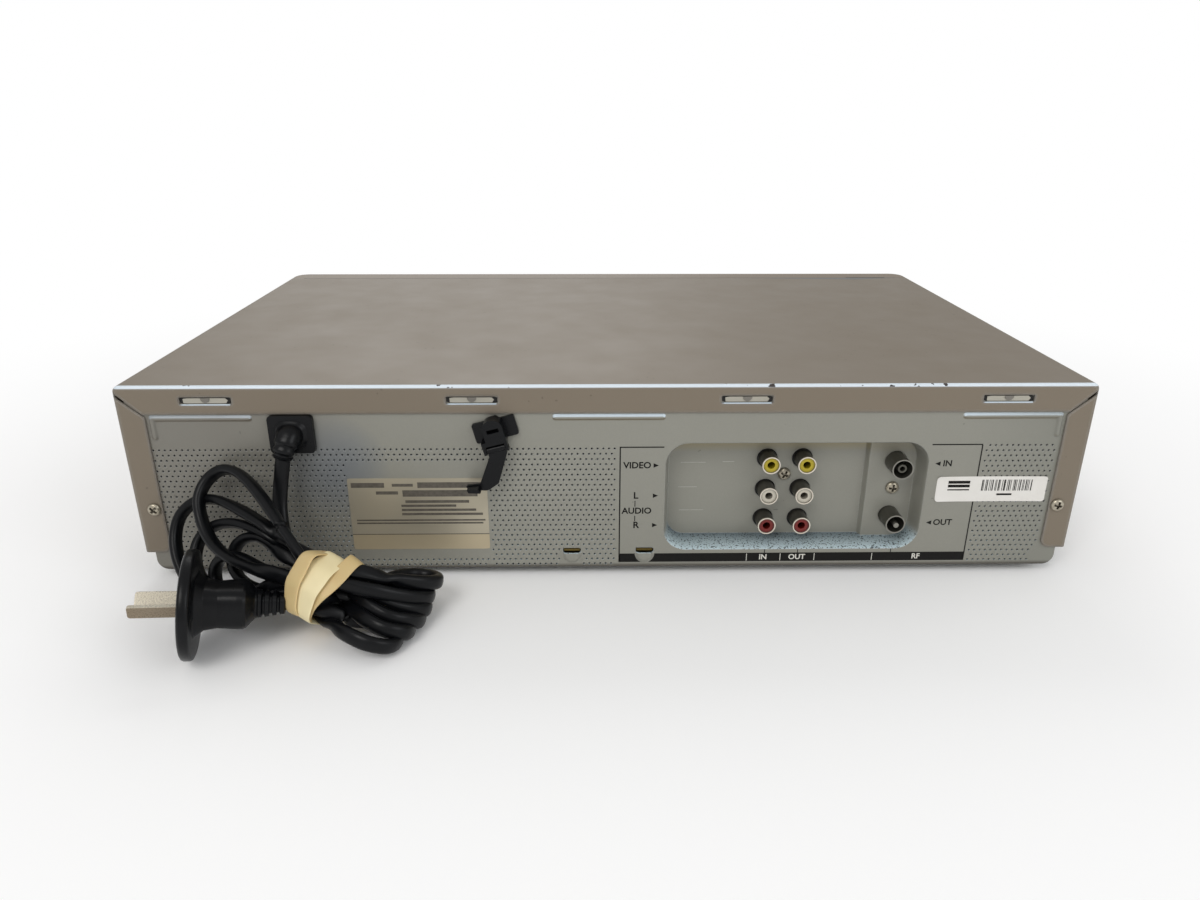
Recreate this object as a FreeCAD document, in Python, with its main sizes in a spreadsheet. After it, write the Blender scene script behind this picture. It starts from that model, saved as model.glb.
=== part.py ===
import FreeCAD, Part
import math
import os
import re
import Sketcher
from FreeCAD import Placement, Rotation, Vector

# A mains video cassette recorder, standing on its four feet.
# Millimetres. The front faces -Y, the jack side +Y, up is +Z.
# Seen from the front, +X is to the right. The floor is z = 0.
os.makedirs("parts", exist_ok=True)
doc = FreeCAD.newDocument("cassette_recorder")

SIZES = {
    # Overall
    "body_width": 430,
    "body_height": 90,
    "cover_depth": 244,
    "fascia_depth": 18,
    "foot_height": 4,
    "button_proud": 1,
    "clip_proud": 11,
    # Clearances
    "fit_gap": 0.3,
    "shaft_gap": 0.05,
    "screw_gap": 0.1,
    # Top cover
    "cover_sheet": 0.8,
    "cover_lift": 9.5,
    "fold_radius": 3,
    "rear_fold_radius": 1.5,
    "flange_height": 13,
    "flange_width": 12,
    "flange_corner": 4,
    "mitre_cut": 1.6,
    "mitre_gap": 0.6,
    "bridge_length": 22.5,
    "bridge_height": 3.2,
    "bridge_drop": 6.7,
    "bridge_outer": 175.5,
    "bridge_inner": 60.2,
    # Rear panel
    "panel_sheet": 1,
    "panel_inset": 4,
    "panel_corner": 5,
    "rib_height": 2.5,
    "rib_proud": 0.7,
    "rib_level": 75,
    "rib_leg": 9,
    "rib_outer": 201.5,
    "rib_inner": 156.5,
    "centre_rib": 48,
    "louvre_width": 8.3,
    "louvre_gap": 2.4,
    "louvre_level": 7.6,
    "louvre_drop": 5.1,
    "louvre_proud": 0.9,
    "louvre_place": 17,
    # Jack recess, its centre and its outline in the rear panel
    "recess_left": -26,
    "recess_right": -144,
    "recess_low": 9.5,
    "recess_high": 61.8,
    "recess_corner": 10,
    "recess_deep": 12,
    "aerial_deep": 9,
    "aerial_edge": -120,
    # Phono jacks
    "jack_column_in": -74,
    "jack_column_out": -90.4,
    "jack_row_video": 50,
    "jack_row_left": 34.6,
    "jack_row_right": 19.3,
    "jack_radius": 4.15,
    "jack_wall": 0.5,
    "jack_length": 10,
    "jack_hole": 5.25,
    "jack_pin_hole": 1.75,
    "jack_block_deep": 14,
    "jack_block_margin": 8,
    # Aerial connectors
    "aerial_column": -132.8,
    "aerial_row_in": 49.7,
    "aerial_row_out": 22.1,
    "aerial_in_radius": 4.8,
    "aerial_out_radius": 4.5,
    "aerial_length": 11.5,
    "aerial_wall": 0.5,
    "aerial_hole": 5.4,
    "aerial_can_deep": 40,
    "aerial_can_left": -123,
    "aerial_can_right": -146.5,
    # Screws
    "screw_head": 3,
    "screw_head_height": 1.9,
    "screw_shank": 1.5,
    "screw_length": 7,
    "screw_dome": 1.2,
    "cover_screw_edge": 8.2,
    "cover_screw_level": 31.5,
    "jack_screw_level": 42.3,
    "aerial_screw_level": 36.3,
    # Chassis
    "chassis_sheet": 1,
    "chassis_wall": 27,
    "board_rise": 4,
    "board_sheet": 1.6,
    "post_radius": 4,
    "post_place_x": 94,
    "post_front": -80,
    "post_rear": 88,
    "vent_length": 26,
    "vent_width": 3,
    "vent_pitch": 9,
    # Feet
    "foot_radius": 11,
    "foot_place_x": 172,
    "foot_front": -92,
    "foot_rear": 92,
    # Fascia
    "fascia_wall": 2.6,
    "fascia_corner": 10,
    "fascia_edge": 3,
    "door_half": 99,
    "door_low": 54,
    "door_high": 87,
    "door_sheet": 2.2,
    "door_axis_drop": 2,
    "door_axis_deep": 3.6,
    "pin_radius": 1.2,
    "window_half": 75,
    "window_low": 20,
    "window_high": 44,
    "window_sheet": 2,
    "flap_left": -200,
    "flap_right": -136,
    "flap_low": 15,
    "flap_high": 40,
    "flap_pin": 0.8,
    "front_board_deep": 12.4,
    "button_corner": 2,
    "button_travel": 1,
    "button_flange": 1,
    "button_stem": 2,
    "switch_height": 2,
    # Mechanism deck
    "deck_level": 24,
    "deck_sheet": 1.2,
    "deck_half": 102,
    "deck_front": -90,
    "deck_rear": 96,
    "stud_radius": 2,
    # Cassette carriage
    "cassette_width": 188,
    "cassette_depth": 104,
    "cassette_height": 25,
    "tray_floor": 55,
    "tray_front": -97,
    "tray_back": -34,
    "tray_sheet": 0.8,
    "tray_ledge": 20,
    "carriage_travel": 50,
    "carriage_drop": 22,
    "bracket_gap": 1.3,
    "bracket_sheet": 1.2,
    "bracket_top": 90,
    "bracket_back": 22,
    "guide_radius": 1.5,
    "guide_level": 86,
    # Head drum, tilted as in every helical scan recorder
    "drum_radius": 31,
    "drum_y": 55,
    "drum_lift": 29,
    "drum_lower": 18,
    "drum_upper": 19,
    "drum_gap": 0.4,
    "drum_shaft": 3,
    "drum_tilt": 5.96,
    # Tape path
    "reel_place_x": 46.2,
    "reel_back": 59,
    "reel_radius": 20,
    "reel_hub": 11,
    "capstan_x": 66,
    "capstan_y": 20,
    "capstan_radius": 2.5,
    "flywheel_radius": 19,
    "pinch_pivot_x": 90,
    "pinch_pivot_y": 38,
    "pinch_arm": 20.8,
    "pinch_radius": 8,
    "pinch_rest": 178.9,
    "arm_pivot_x": 24.1,
    "arm_pivot_y": 37.9,
    "arm_length": 33.35,
    "arm_sheet": 2,
    "arm_level": 20.8,
    "cam_x": -78,
    "cam_y": 56,
    "cam_radius": 15,
    "cam_teeth": 30,
    "reel_splines": 6,
    # Mains cord and plug
    "cord_radius": 3.25,
    "gland_x": 139.8,
    "gland_level": 68.1,
    "gland_width": 19.6,
    "gland_height": 17.3,
    "gland_plate": 2.5,
    "gland_out": 9,
    "gland_lean": 1.8,
    "gland_neck": 5.9,
    "cord_thin": 2.15,
    "cord_bend": 0.45,
    "plug_disc": 22,
    "plug_rim": 4.5,
    "plug_body": 10.5,
    "plug_length": 22,
    "relief_length": 11.5,
    "blade_length": 19,
    # Cord clip
    "clip_x": 50.5,
    "clip_level": 69.9,
    "clip_stud": 2.15,
    "clip_tilt": 14.5,
    "clip_width": 19.4,
    "clip_height": 9.3,
    "clip_block": 8,
    "clip_hinge_x": 1.2,
    "clip_hinge_low": -7.2,
    "clip_hinge_out": 6,
    "strap_half": 4.1,
    "strap_thick": 1.4,
}

dims = doc.addObject("Spreadsheet::Sheet", "dims")
for row, (name, value) in enumerate(SIZES.items(), start=1):
    dims.set(f"A{row}", name)
    dims.set(f"B{row}", str(value))
    dims.setAlias(f"B{row}", name)
doc.recompute()

# Levels that several pieces share, as expressions of the sheet's sizes.
REAR = "((cover_depth + fascia_depth + button_proud - clip_proud) / 2)"
COVER_FRONT = f"({REAR} - cover_depth)"
FRONT = f"({COVER_FRONT} - fascia_depth)"
HALF = "(body_width / 2)"
TOP = "(foot_height + body_height)"
PANEL_HALF = f"({HALF} - panel_inset)"
COVER_SCREW = f"({HALF} - cover_screw_edge)"
FLANGE_LOW = f"({TOP} - flange_height)"
RECESS_FLOOR = f"({REAR} - recess_deep)"
AERIAL_FLOOR = f"({REAR} - aerial_deep)"
FLOOR_TOP = "(foot_height + chassis_sheet)"
BOARD_LOW = f"({FLOOR_TOP} + board_rise)"
BOARD_TOP = f"({BOARD_LOW} + board_sheet)"
DECK_TOP = "(deck_level + deck_sheet)"
FASCIA_BACK = f"({FRONT} + fascia_wall)"
BOARD_FACE = f"({FRONT} + front_board_deep)"
DOOR_AXIS_Y = f"({FRONT} + door_axis_deep)"
DOOR_AXIS_Z = "(door_high - door_axis_drop)"
FLAP_AXIS_Y = f"({FRONT} + fascia_wall / 2)"
FLAP_AXIS_Z = "(flap_low + fascia_wall / 2)"
TRAY_HALF = "(cassette_width / 2 + 0.5 + tray_sheet)"
TRAY_TOP = "(tray_floor + tray_sheet + cassette_height + 0.7 + tray_sheet)"
BRACKET_IN = f"({TRAY_HALF} + bracket_gap)"
REEL_Y = "(tray_back + carriage_travel - reel_back)"
JACK_BACK = f"({RECESS_FLOOR} - panel_sheet)"
AERIAL_BACK = f"({AERIAL_FLOOR} - panel_sheet)"
JACK_MID = "((jack_column_in + jack_column_out) / 2)"

PLANES = {"XY": ("XY_Plane", 1), "XZ": ("XZ_Plane", -1), "YZ": ("YZ_Plane", 1)}


def bound(text):
    """The expression with each named size read from the sheet."""
    return re.sub(r"[a-z][a-z_0-9]*", lambda m: f"dims.{m[0]}" if m[0] in SIZES else m[0], text)


def size(text):
    """The number that an expression of named sizes stands for."""
    return float(dims.evalExpression(bound(str(text))))


def body(label):
    """A new body that carries one node of the recorder."""
    piece = doc.addObject("PartDesign::Body", label)
    piece.Label = label
    piece.AllowCompound = True
    return piece


def sketch_on(piece, plane, level="0", across="0"):
    """A sketch on one of the body's own planes, shifted to a level along the plane's axis."""
    role, way = PLANES[plane]
    origin = next(f for f in piece.Origin.OriginFeatures if f.Role == role)
    sketch = piece.newObject("Sketcher::SketchObject", f"{piece.Label}_outline")
    sketch.AttachmentSupport = [(origin, "")]
    sketch.MapMode = "FlatFace"
    sketch.setExpression("AttachmentOffset.Base.z", bound(f"{way} * ({level})"))
    sketch.setExpression("AttachmentOffset.Base.x", bound(across))
    sketch.addProperty("App::PropertyInteger", "Way")
    sketch.Way = way
    return sketch


def outline(sketch, corners):
    """A closed outline. Each corner is (across, up) or (across, up, radius), as expressions."""
    corners = [c if len(c) == 3 else (c[0], c[1], "0") for c in corners]
    spots = [Vector(size(a), size(b), 0) for a, b, _ in corners]
    radii = [size(r) for _, _, r in corners]
    count = len(corners)
    starts, ends, arcs = [], [], []
    for i, spot in enumerate(spots):
        back = (spots[i - 1] - spot).normalize()
        ahead = (spots[(i + 1) % count] - spot).normalize()
        if radii[i] == 0:
            starts.append(spot)
            ends.append(spot)
            arcs.append(None)
            continue
        half = back.getAngle(ahead) / 2
        reach = radii[i] / math.tan(half)
        middle = (back + ahead).normalize()
        starts.append(spot + back * reach)
        ends.append(spot + ahead * reach)
        heart = spot + middle * (radii[i] / math.sin(half))
        first_end, second_end = starts[i] - heart, ends[i] - heart
        forward = first_end.cross(second_end).z > 0
        if not forward:
            first_end, second_end = second_end, first_end
        angles = [math.atan2(end.y, end.x) for end in (first_end, second_end)]
        ring = Part.Circle(heart, Vector(0, 0, 1), radii[i])
        arcs.append((Part.ArcOfCircle(ring, *angles), 1 if forward else 2))
    first = sketch.GeometryCount
    for i in range(count):
        sketch.addGeometry(Part.LineSegment(ends[i], starts[(i + 1) % count]), False)
    rules, held = [], []
    for i, (across, up, radius) in enumerate(corners):
        before, after = first + (i - 1) % count, first + i
        if arcs[i] is None:
            rules.append(Sketcher.Constraint("Coincident", before, 2, after, 1))
            spot = after
        else:
            shape, entry = arcs[i]
            arc = sketch.addGeometry(shape, False)
            spot = sketch.addGeometry(Part.Point(spots[i]), True)
            rules.append(Sketcher.Constraint("Tangent", before, 2, arc, entry))
            rules.append(Sketcher.Constraint("Tangent", arc, 3 - entry, after, 1))
            rules.append(Sketcher.Constraint("PointOnObject", spot, 1, before))
            rules.append(Sketcher.Constraint("PointOnObject", spot, 1, after))
            rules.append(Sketcher.Constraint("Radius", arc, radii[i]))
            held.append((len(rules) - 1, radius))
        rules.append(Sketcher.Constraint("DistanceX", spot, 1, spots[i].x))
        held.append((len(rules) - 1, across))
        rules.append(Sketcher.Constraint("DistanceY", spot, 1, spots[i].y))
        held.append((len(rules) - 1, up))
    hold(sketch, rules, held)


def hold(sketch, rules, held):
    """Add constraints and bind those whose value is an expression of named sizes."""
    base = sketch.ConstraintCount
    sketch.addConstraint(rules)
    for number, text in held:
        sketch.setExpression(f"Constraints[{base + number}]", bound(str(text)))


def circle(sketch, across, up, radius):
    """A full circle whose centre and radius are expressions."""
    spot = Vector(size(across), size(up), 0)
    ring = sketch.addGeometry(Part.Circle(spot, Vector(0, 0, 1), size(radius)), False)
    rules = [
        Sketcher.Constraint("DistanceX", ring, 3, spot.x),
        Sketcher.Constraint("DistanceY", ring, 3, spot.y),
        Sketcher.Constraint("Radius", ring, size(radius)),
    ]
    hold(sketch, rules, list(enumerate((across, up, radius))))


def rectangle(sketch, left, right, low, high, radius="0"):
    """A rectangle with one radius at its four corners."""
    outline(sketch, [(left, low, radius), (right, low, radius),
                     (right, high, radius), (left, high, radius)])


def pad(piece, sketch, length, way):
    """Material from the sketch along its plane's axis, one way (1) or the other (-1)."""
    feature = piece.newObject("PartDesign::Pad", f"{piece.Label}_pad")
    feature.Profile = sketch
    feature.Length = size(length)
    feature.setExpression("Length", bound(length))
    feature.Reversed = way != sketch.Way
    doc.recompute()
    return feature


def pocket(piece, sketch, length, way):
    """A cut from the sketch along its plane's axis, which must take material away."""
    before = piece.Shape.Volume
    feature = piece.newObject("PartDesign::Pocket", f"{piece.Label}_pocket")
    feature.Profile = sketch
    feature.Length = size(length)
    feature.setExpression("Length", bound(length))
    feature.Reversed = way == sketch.Way
    doc.recompute()
    if piece.Shape.Volume > before - 1e-3:
        raise ValueError(f"a pocket of {piece.Label} cuts nothing")
    return feature


def repeat(piece, feature, plane_axis, length, count):
    """Copies of a feature in a row along a sketch axis."""
    row = piece.newObject("PartDesign::LinearPattern", f"{piece.Label}_row")
    row.Originals = [feature]
    row.Direction = (feature.Profile[0], [plane_axis])
    row.Length = size(length)
    row.setExpression("Length", bound(length))
    row.Occurrences = count
    piece.Tip = row
    doc.recompute()
    return row


def round_row(piece, feature, sketch, count):
    """Copies of a feature round the upright axis of its sketch."""
    ring = piece.newObject("PartDesign::PolarPattern", f"{piece.Label}_ring")
    ring.Originals = [feature]
    ring.Axis = (sketch, ["N_Axis"])
    ring.Angle = 360
    ring.Occurrences = SIZES[count]
    ring.setExpression("Occurrences", bound(count))
    piece.Tip = ring
    doc.recompute()


def round_edges(piece, radius, test):
    """A fillet on the tip's edges that pass a test of their middle point and direction."""
    base = piece.Tip
    edges = []
    for number, edge in enumerate(base.Shape.Edges, start=1):
        first, last = edge.Vertexes[0].Point, edge.Vertexes[-1].Point
        if edge.Curve.TypeId == "Part::GeomLine" and test((first + last) / 2, (last - first).normalize()):
            edges.append(f"Edge{number}")
    if not edges:
        raise ValueError(f"a fillet of {piece.Label} finds no edge")
    feature = piece.newObject("PartDesign::Fillet", f"{piece.Label}_fillet")
    feature.Base = (base, edges)
    feature.Radius = size(radius)
    feature.setExpression("Radius", bound(radius))
    doc.recompute()
    return feature


def near(value, text):
    """Whether a measured place is where an expression says."""
    return abs(value - size(text)) < 1e-3


def revolve(piece, profile, level="0", across="0"):
    """A turned solid about a vertical line. The profile is (radius, height) with optional radii."""
    sketch = sketch_on(piece, "XZ", level, across)
    outline(sketch, profile)
    feature = piece.newObject("PartDesign::Revolution", f"{piece.Label}_turn")
    feature.Profile = sketch
    feature.ReferenceAxis = (sketch, ["V_Axis"])
    feature.Angle = 360
    doc.recompute()
    return feature


def move(piece, x, y, z, turn=None):
    """Put a piece at a place given by expressions, with an optional rotation."""
    if turn is not None:
        piece.Placement = Placement(Vector(), turn)
    for axis, text in (("x", x), ("y", y), ("z", z)):
        piece.setExpression(f"Placement.Base.{axis}", bound(str(text)))
    doc.recompute()


def turned(label, profile, x, y, z, turn=None):
    """A turned piece on its own axis, put in its place."""
    piece = body(label)
    revolve(piece, profile)
    move(piece, x, y, z, turn)
    return piece


def block(name, x, y, z):
    """A box between pairs of expressions along X, Y and Z."""
    box = doc.addObject("Part::Box", name)
    for side, axis, (low, high) in (("Length", "x", x), ("Width", "y", y), ("Height", "z", z)):
        box.setExpression(side, bound(f"({high}) - ({low})"))
        box.setExpression(f"Placement.Base.{axis}", bound(str(low)))
    return box


AXIS_TURNS = {
    "x": Rotation(Vector(0, 1, 0), 90),
    "y": Rotation(Vector(1, 0, 0), -90),
    "z": Rotation(),
}


def rod(name, axis, at, radius, length):
    """A round bar along an axis, from a starting point given by expressions."""
    bar = doc.addObject("Part::Cylinder", name)
    bar.Placement = Placement(Vector(), AXIS_TURNS[axis])
    bar.setExpression("Radius", bound(str(radius)))
    bar.setExpression("Height", bound(str(length)))
    for side, text in zip("xyz", at):
        bar.setExpression(f"Placement.Base.{side}", bound(str(text)))
    return bar


def fuse(label, pieces):
    """One solid made of several, under the node's name."""
    whole = doc.addObject("Part::MultiFuse", label)
    whole.Label = label
    whole.Shapes = pieces
    whole.Refine = True
    return whole


def cut(label, base, tools):
    """A piece with others taken out of it, under the node's name."""
    whole = doc.addObject("Part::Cut", label)
    whole.Label = label
    whole.Base = base
    whole.Tool = tools[0] if len(tools) == 1 else fuse(f"{label}_tools", tools)
    return whole


def group(label, pieces):
    """Like pieces that stay separate solids in one node."""
    whole = doc.addObject("Part::Compound", label)
    whole.Label = label
    whole.Links = pieces
    return whole


def top_cover():
    """Folded steel sheet: top, two sides and a rear edge bent down over the rear panel."""
    piece = body("top_cover")
    low = "(foot_height + cover_lift)"
    skin = sketch_on(piece, "XZ", f"{REAR} + cover_sheet")
    rectangle(skin, f"-{HALF}", HALF, low, TOP)
    pad(piece, skin, "cover_depth + cover_sheet", -1)
    round_edges(piece, "fold_radius", lambda at, way: abs(way.y) > 0.9 and near(at.z, TOP))
    round_edges(piece, "rear_fold_radius",
                lambda at, way: abs(way.x) > 0.9 and near(at.z, TOP) and near(at.y,
                                                                              f"{REAR} + cover_sheet"))
    inside = sketch_on(piece, "XZ", REAR)
    inner = f"({HALF} - cover_sheet)"
    bend = "(fold_radius - cover_sheet)"
    outline(inside, [(f"-{inner}", f"{low} - 5"), (inner, f"{low} - 5"),
                     (inner, f"{TOP} - cover_sheet", bend), (f"-{inner}", f"{TOP} - cover_sheet", bend)])
    pocket(piece, inside, "cover_depth + 1", -1)
    mouth = sketch_on(piece, "XZ", f"{REAR} + cover_sheet")
    edge = f"({HALF} - flange_width)"
    outline(mouth, [
        (f"-{edge}", f"{low} - 5"), (edge, f"{low} - 5"),
        (edge, f"{FLANGE_LOW} - mitre_cut"), (f"{edge} + mitre_cut", FLANGE_LOW),
        (f"-{edge} - mitre_cut", FLANGE_LOW), (f"-{edge}", f"{FLANGE_LOW} - mitre_cut"),
    ])
    pocket(piece, mouth, "cover_sheet + 0.1", -1)
    round_edges(piece, "flange_corner",
                lambda at, way: abs(way.y) > 0.9 and near(at.z, low) and near(abs(at.x), edge))
    for side in ("-1", "1"):
        seam = sketch_on(piece, "XZ", f"{REAR} + cover_sheet")
        outline(seam, [
            (f"{side} * ({edge} + mitre_cut - mitre_gap)", f"{FLANGE_LOW} - mitre_gap"),
            (f"{side} * ({HALF} + 1)", f"{TOP} - 3.6"),
            (f"{side} * ({HALF} + 1)", f"{TOP} - 1.6"),
            (f"{side} * ({edge} + mitre_cut - mitre_gap)", f"{FLANGE_LOW} + mitre_gap / 3"),
        ])
        pocket(piece, seam, "cover_sheet + 0.1", -1)
    slots = sketch_on(piece, "XZ", f"{REAR} + cover_sheet")
    for place in ("bridge_outer", "bridge_inner", "-bridge_inner", "-bridge_outer"):
        rectangle(slots, f"{place} - bridge_length / 2", f"{place} + bridge_length / 2",
                  f"{TOP} - bridge_drop - bridge_height / 2", f"{TOP} - bridge_drop + bridge_height / 2")
    pocket(piece, slots, "cover_sheet + 0.1", -1)
    holes = sketch_on(piece, "XZ", f"{REAR} + cover_sheet")
    for side in ("-", ""):
        circle(holes, f"{side}{COVER_SCREW}", "foot_height + cover_screw_level",
               "screw_shank + screw_gap")
    pocket(piece, holes, "cover_sheet + 0.1", -1)
    return piece


def rear_panel():
    """Pressed steel panel with the jack recess, stiffening ribs, hook tongues and two louvres."""
    piece = body("rear_panel")
    sheet = sketch_on(piece, "XZ", REAR)
    outline(sheet, [(f"-{PANEL_HALF}", "foot_height", "panel_corner"),
                    (PANEL_HALF, "foot_height", "panel_corner"),
                    (PANEL_HALF, f"{TOP} - cover_sheet"), (f"-{PANEL_HALF}", f"{TOP} - cover_sheet")])
    pad(piece, sheet, "panel_sheet", -1)
    pan = sketch_on(piece, "XZ", REAR)
    rectangle(pan, "recess_right - panel_sheet", "recess_left + panel_sheet",
              "foot_height + recess_low - panel_sheet",
              "foot_height + recess_high + panel_sheet", "recess_corner + panel_sheet")
    pad(piece, pan, "aerial_deep + panel_sheet", -1)
    deep = sketch_on(piece, "XZ", REAR)
    outline(deep, [
        ("aerial_edge - panel_sheet", "foot_height + recess_low - panel_sheet"),
        ("recess_left + panel_sheet", "foot_height + recess_low - panel_sheet",
         "recess_corner + panel_sheet"),
        ("recess_left + panel_sheet", "foot_height + recess_high + panel_sheet",
         "recess_corner + panel_sheet"),
        ("aerial_edge - panel_sheet", "foot_height + recess_high + panel_sheet"),
    ])
    pad(piece, deep, "recess_deep + panel_sheet", -1)
    well = sketch_on(piece, "XZ", REAR)
    rectangle(well, "recess_right", "recess_left", "foot_height + recess_low",
              "foot_height + recess_high",
              "recess_corner")
    pocket(piece, well, "aerial_deep", -1)
    floor = sketch_on(piece, "XZ", AERIAL_FLOOR)
    outline(floor, [
        ("aerial_edge", "foot_height + recess_low"),
        ("recess_left", "foot_height + recess_low", "recess_corner"),
        ("recess_left", "foot_height + recess_high", "recess_corner"),
        ("aerial_edge", "foot_height + recess_high"),
    ])
    pocket(piece, floor, "recess_deep - aerial_deep", -1)
    holes = sketch_on(piece, "XZ", REAR)
    for column in ("jack_column_in", "jack_column_out"):
        for row in ("jack_row_video", "jack_row_left", "jack_row_right"):
            circle(holes, column, f"foot_height + {row}", "jack_hole")
    circle(holes, "aerial_column", "foot_height + aerial_row_in", "aerial_hole")
    circle(holes, "aerial_column", "foot_height + aerial_row_out", "aerial_hole")
    circle(holes, JACK_MID, "foot_height + jack_screw_level", "screw_shank + screw_gap")
    circle(holes, "aerial_column", "foot_height + aerial_screw_level", "screw_shank + screw_gap")
    for side in ("-", ""):
        circle(holes, f"{side}{COVER_SCREW}", "foot_height + cover_screw_level",
               "screw_shank + screw_gap")
    circle(holes, "gland_x", "foot_height + gland_level", "gland_neck + 0.1")
    circle(holes, "clip_x", "foot_height + clip_level", "clip_stud + shaft_gap")
    pocket(piece, holes, "recess_deep + panel_sheet + 1", -1)
    ribs = sketch_on(piece, "XZ", REAR)
    rib_low = "(foot_height + rib_level - rib_height / 2)"
    rib_high = "(foot_height + rib_level + rib_height / 2)"
    for side in ("-1", "1"):
        outline(ribs, [
            (f"{side} * rib_outer", rib_high), (f"{side} * rib_inner", rib_high),
            (f"{side} * rib_inner", rib_low), (f"{side} * (rib_outer - rib_height)", rib_low),
            (f"{side} * (rib_outer - rib_height)", f"{rib_high} - rib_leg"),
            (f"{side} * rib_outer", f"{rib_high} - rib_leg"),
        ])
    rectangle(ribs, "-centre_rib / 2", "centre_rib / 2", rib_low, rib_high, "rib_height / 3")
    pad(piece, ribs, "rib_proud", 1)
    tongues = sketch_on(piece, "XZ", REAR)
    for place in ("bridge_outer", "bridge_inner", "-bridge_inner", "-bridge_outer"):
        rectangle(tongues, f"{place} - bridge_length / 2 + 2", f"{place} + bridge_length / 2 - 2",
                  f"{TOP} - bridge_drop - bridge_height / 2 + fit_gap",
                  f"{TOP} - bridge_drop + bridge_height / 2 - fit_gap")
    pad(piece, tongues, "cover_sheet - fit_gap", 1)
    louvres = sketch_on(piece, "XZ", REAR)
    gaps = sketch_on(piece, "XZ", REAR)
    for side in ("-1", "1"):
        left = f"{side} * louvre_place - louvre_width / 2"
        right = f"{side} * louvre_place + louvre_width / 2"
        high = "foot_height + louvre_level"
        outline(louvres, [
            (left, high), (left, f"{high} - louvre_drop", "louvre_width / 2 - 0.1"),
            (right, f"{high} - louvre_drop", "louvre_width / 2 - 0.1"), (right, high),
        ])
        rectangle(gaps, left, right, high, f"{high} + louvre_gap")
    pad(piece, louvres, "louvre_proud", 1)
    pocket(piece, gaps, "panel_sheet + 0.1", -1)
    return piece


def bottom_chassis():
    """Steel tray with low side walls, stamped vents, board bosses and the deck's four posts."""
    piece = body("bottom_chassis")
    tray = sketch_on(piece, "XZ", f"{REAR} - panel_sheet")
    high = "(foot_height + chassis_wall)"
    inner = f"({PANEL_HALF} - chassis_sheet)"
    bend = "(panel_corner - chassis_sheet)"
    outline(tray, [
        (f"-{PANEL_HALF}", high), (f"-{PANEL_HALF}", "foot_height", "panel_corner"),
        (PANEL_HALF, "foot_height", "panel_corner"), (PANEL_HALF, high), (inner, high),
        (inner, FLOOR_TOP, bend), (f"-{inner}", FLOOR_TOP, bend), (f"-{inner}", high),
    ])
    pad(piece, tray, "cover_depth - panel_sheet", -1)
    posts = sketch_on(piece, "XY", FLOOR_TOP)
    for x in ("-post_place_x", "post_place_x"):
        for y in ("post_front", "post_rear"):
            circle(posts, x, y, "post_radius")
    pad(piece, posts, f"deck_level - {FLOOR_TOP}", 1)
    bosses = sketch_on(piece, "XY", FLOOR_TOP)
    for x in ("-188", "-130", "130", "188"):
        for y in ("-84", "100"):
            circle(bosses, x, y, "post_radius")
    pad(piece, bosses, "board_rise", 1)
    for x in ("-172", "146"):
        slot = sketch_on(piece, "XY", FLOOR_TOP)
        rectangle(slot, x, f"{x} + vent_length", "-50", "-50 + vent_width", "vent_width / 2 - 0.1")
        first = pocket(piece, slot, "chassis_sheet + 0.1", -1)
        repeat(piece, first, "V_Axis", "vent_pitch * 10", 11)
    return piece


def feet():
    """Four round feet, fixed from below to the chassis."""
    profile = [("0", "0"), ("foot_radius - 1.5", "0", "1"), ("foot_radius", "foot_height"),
               ("0", "foot_height")]
    return group("feet", [
        turned(f"foot_{x}_{y}", profile, f"{x} * foot_place_x", y, "0")
        for x in ("-1", "1") for y in ("foot_front", "foot_rear")
    ])


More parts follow.
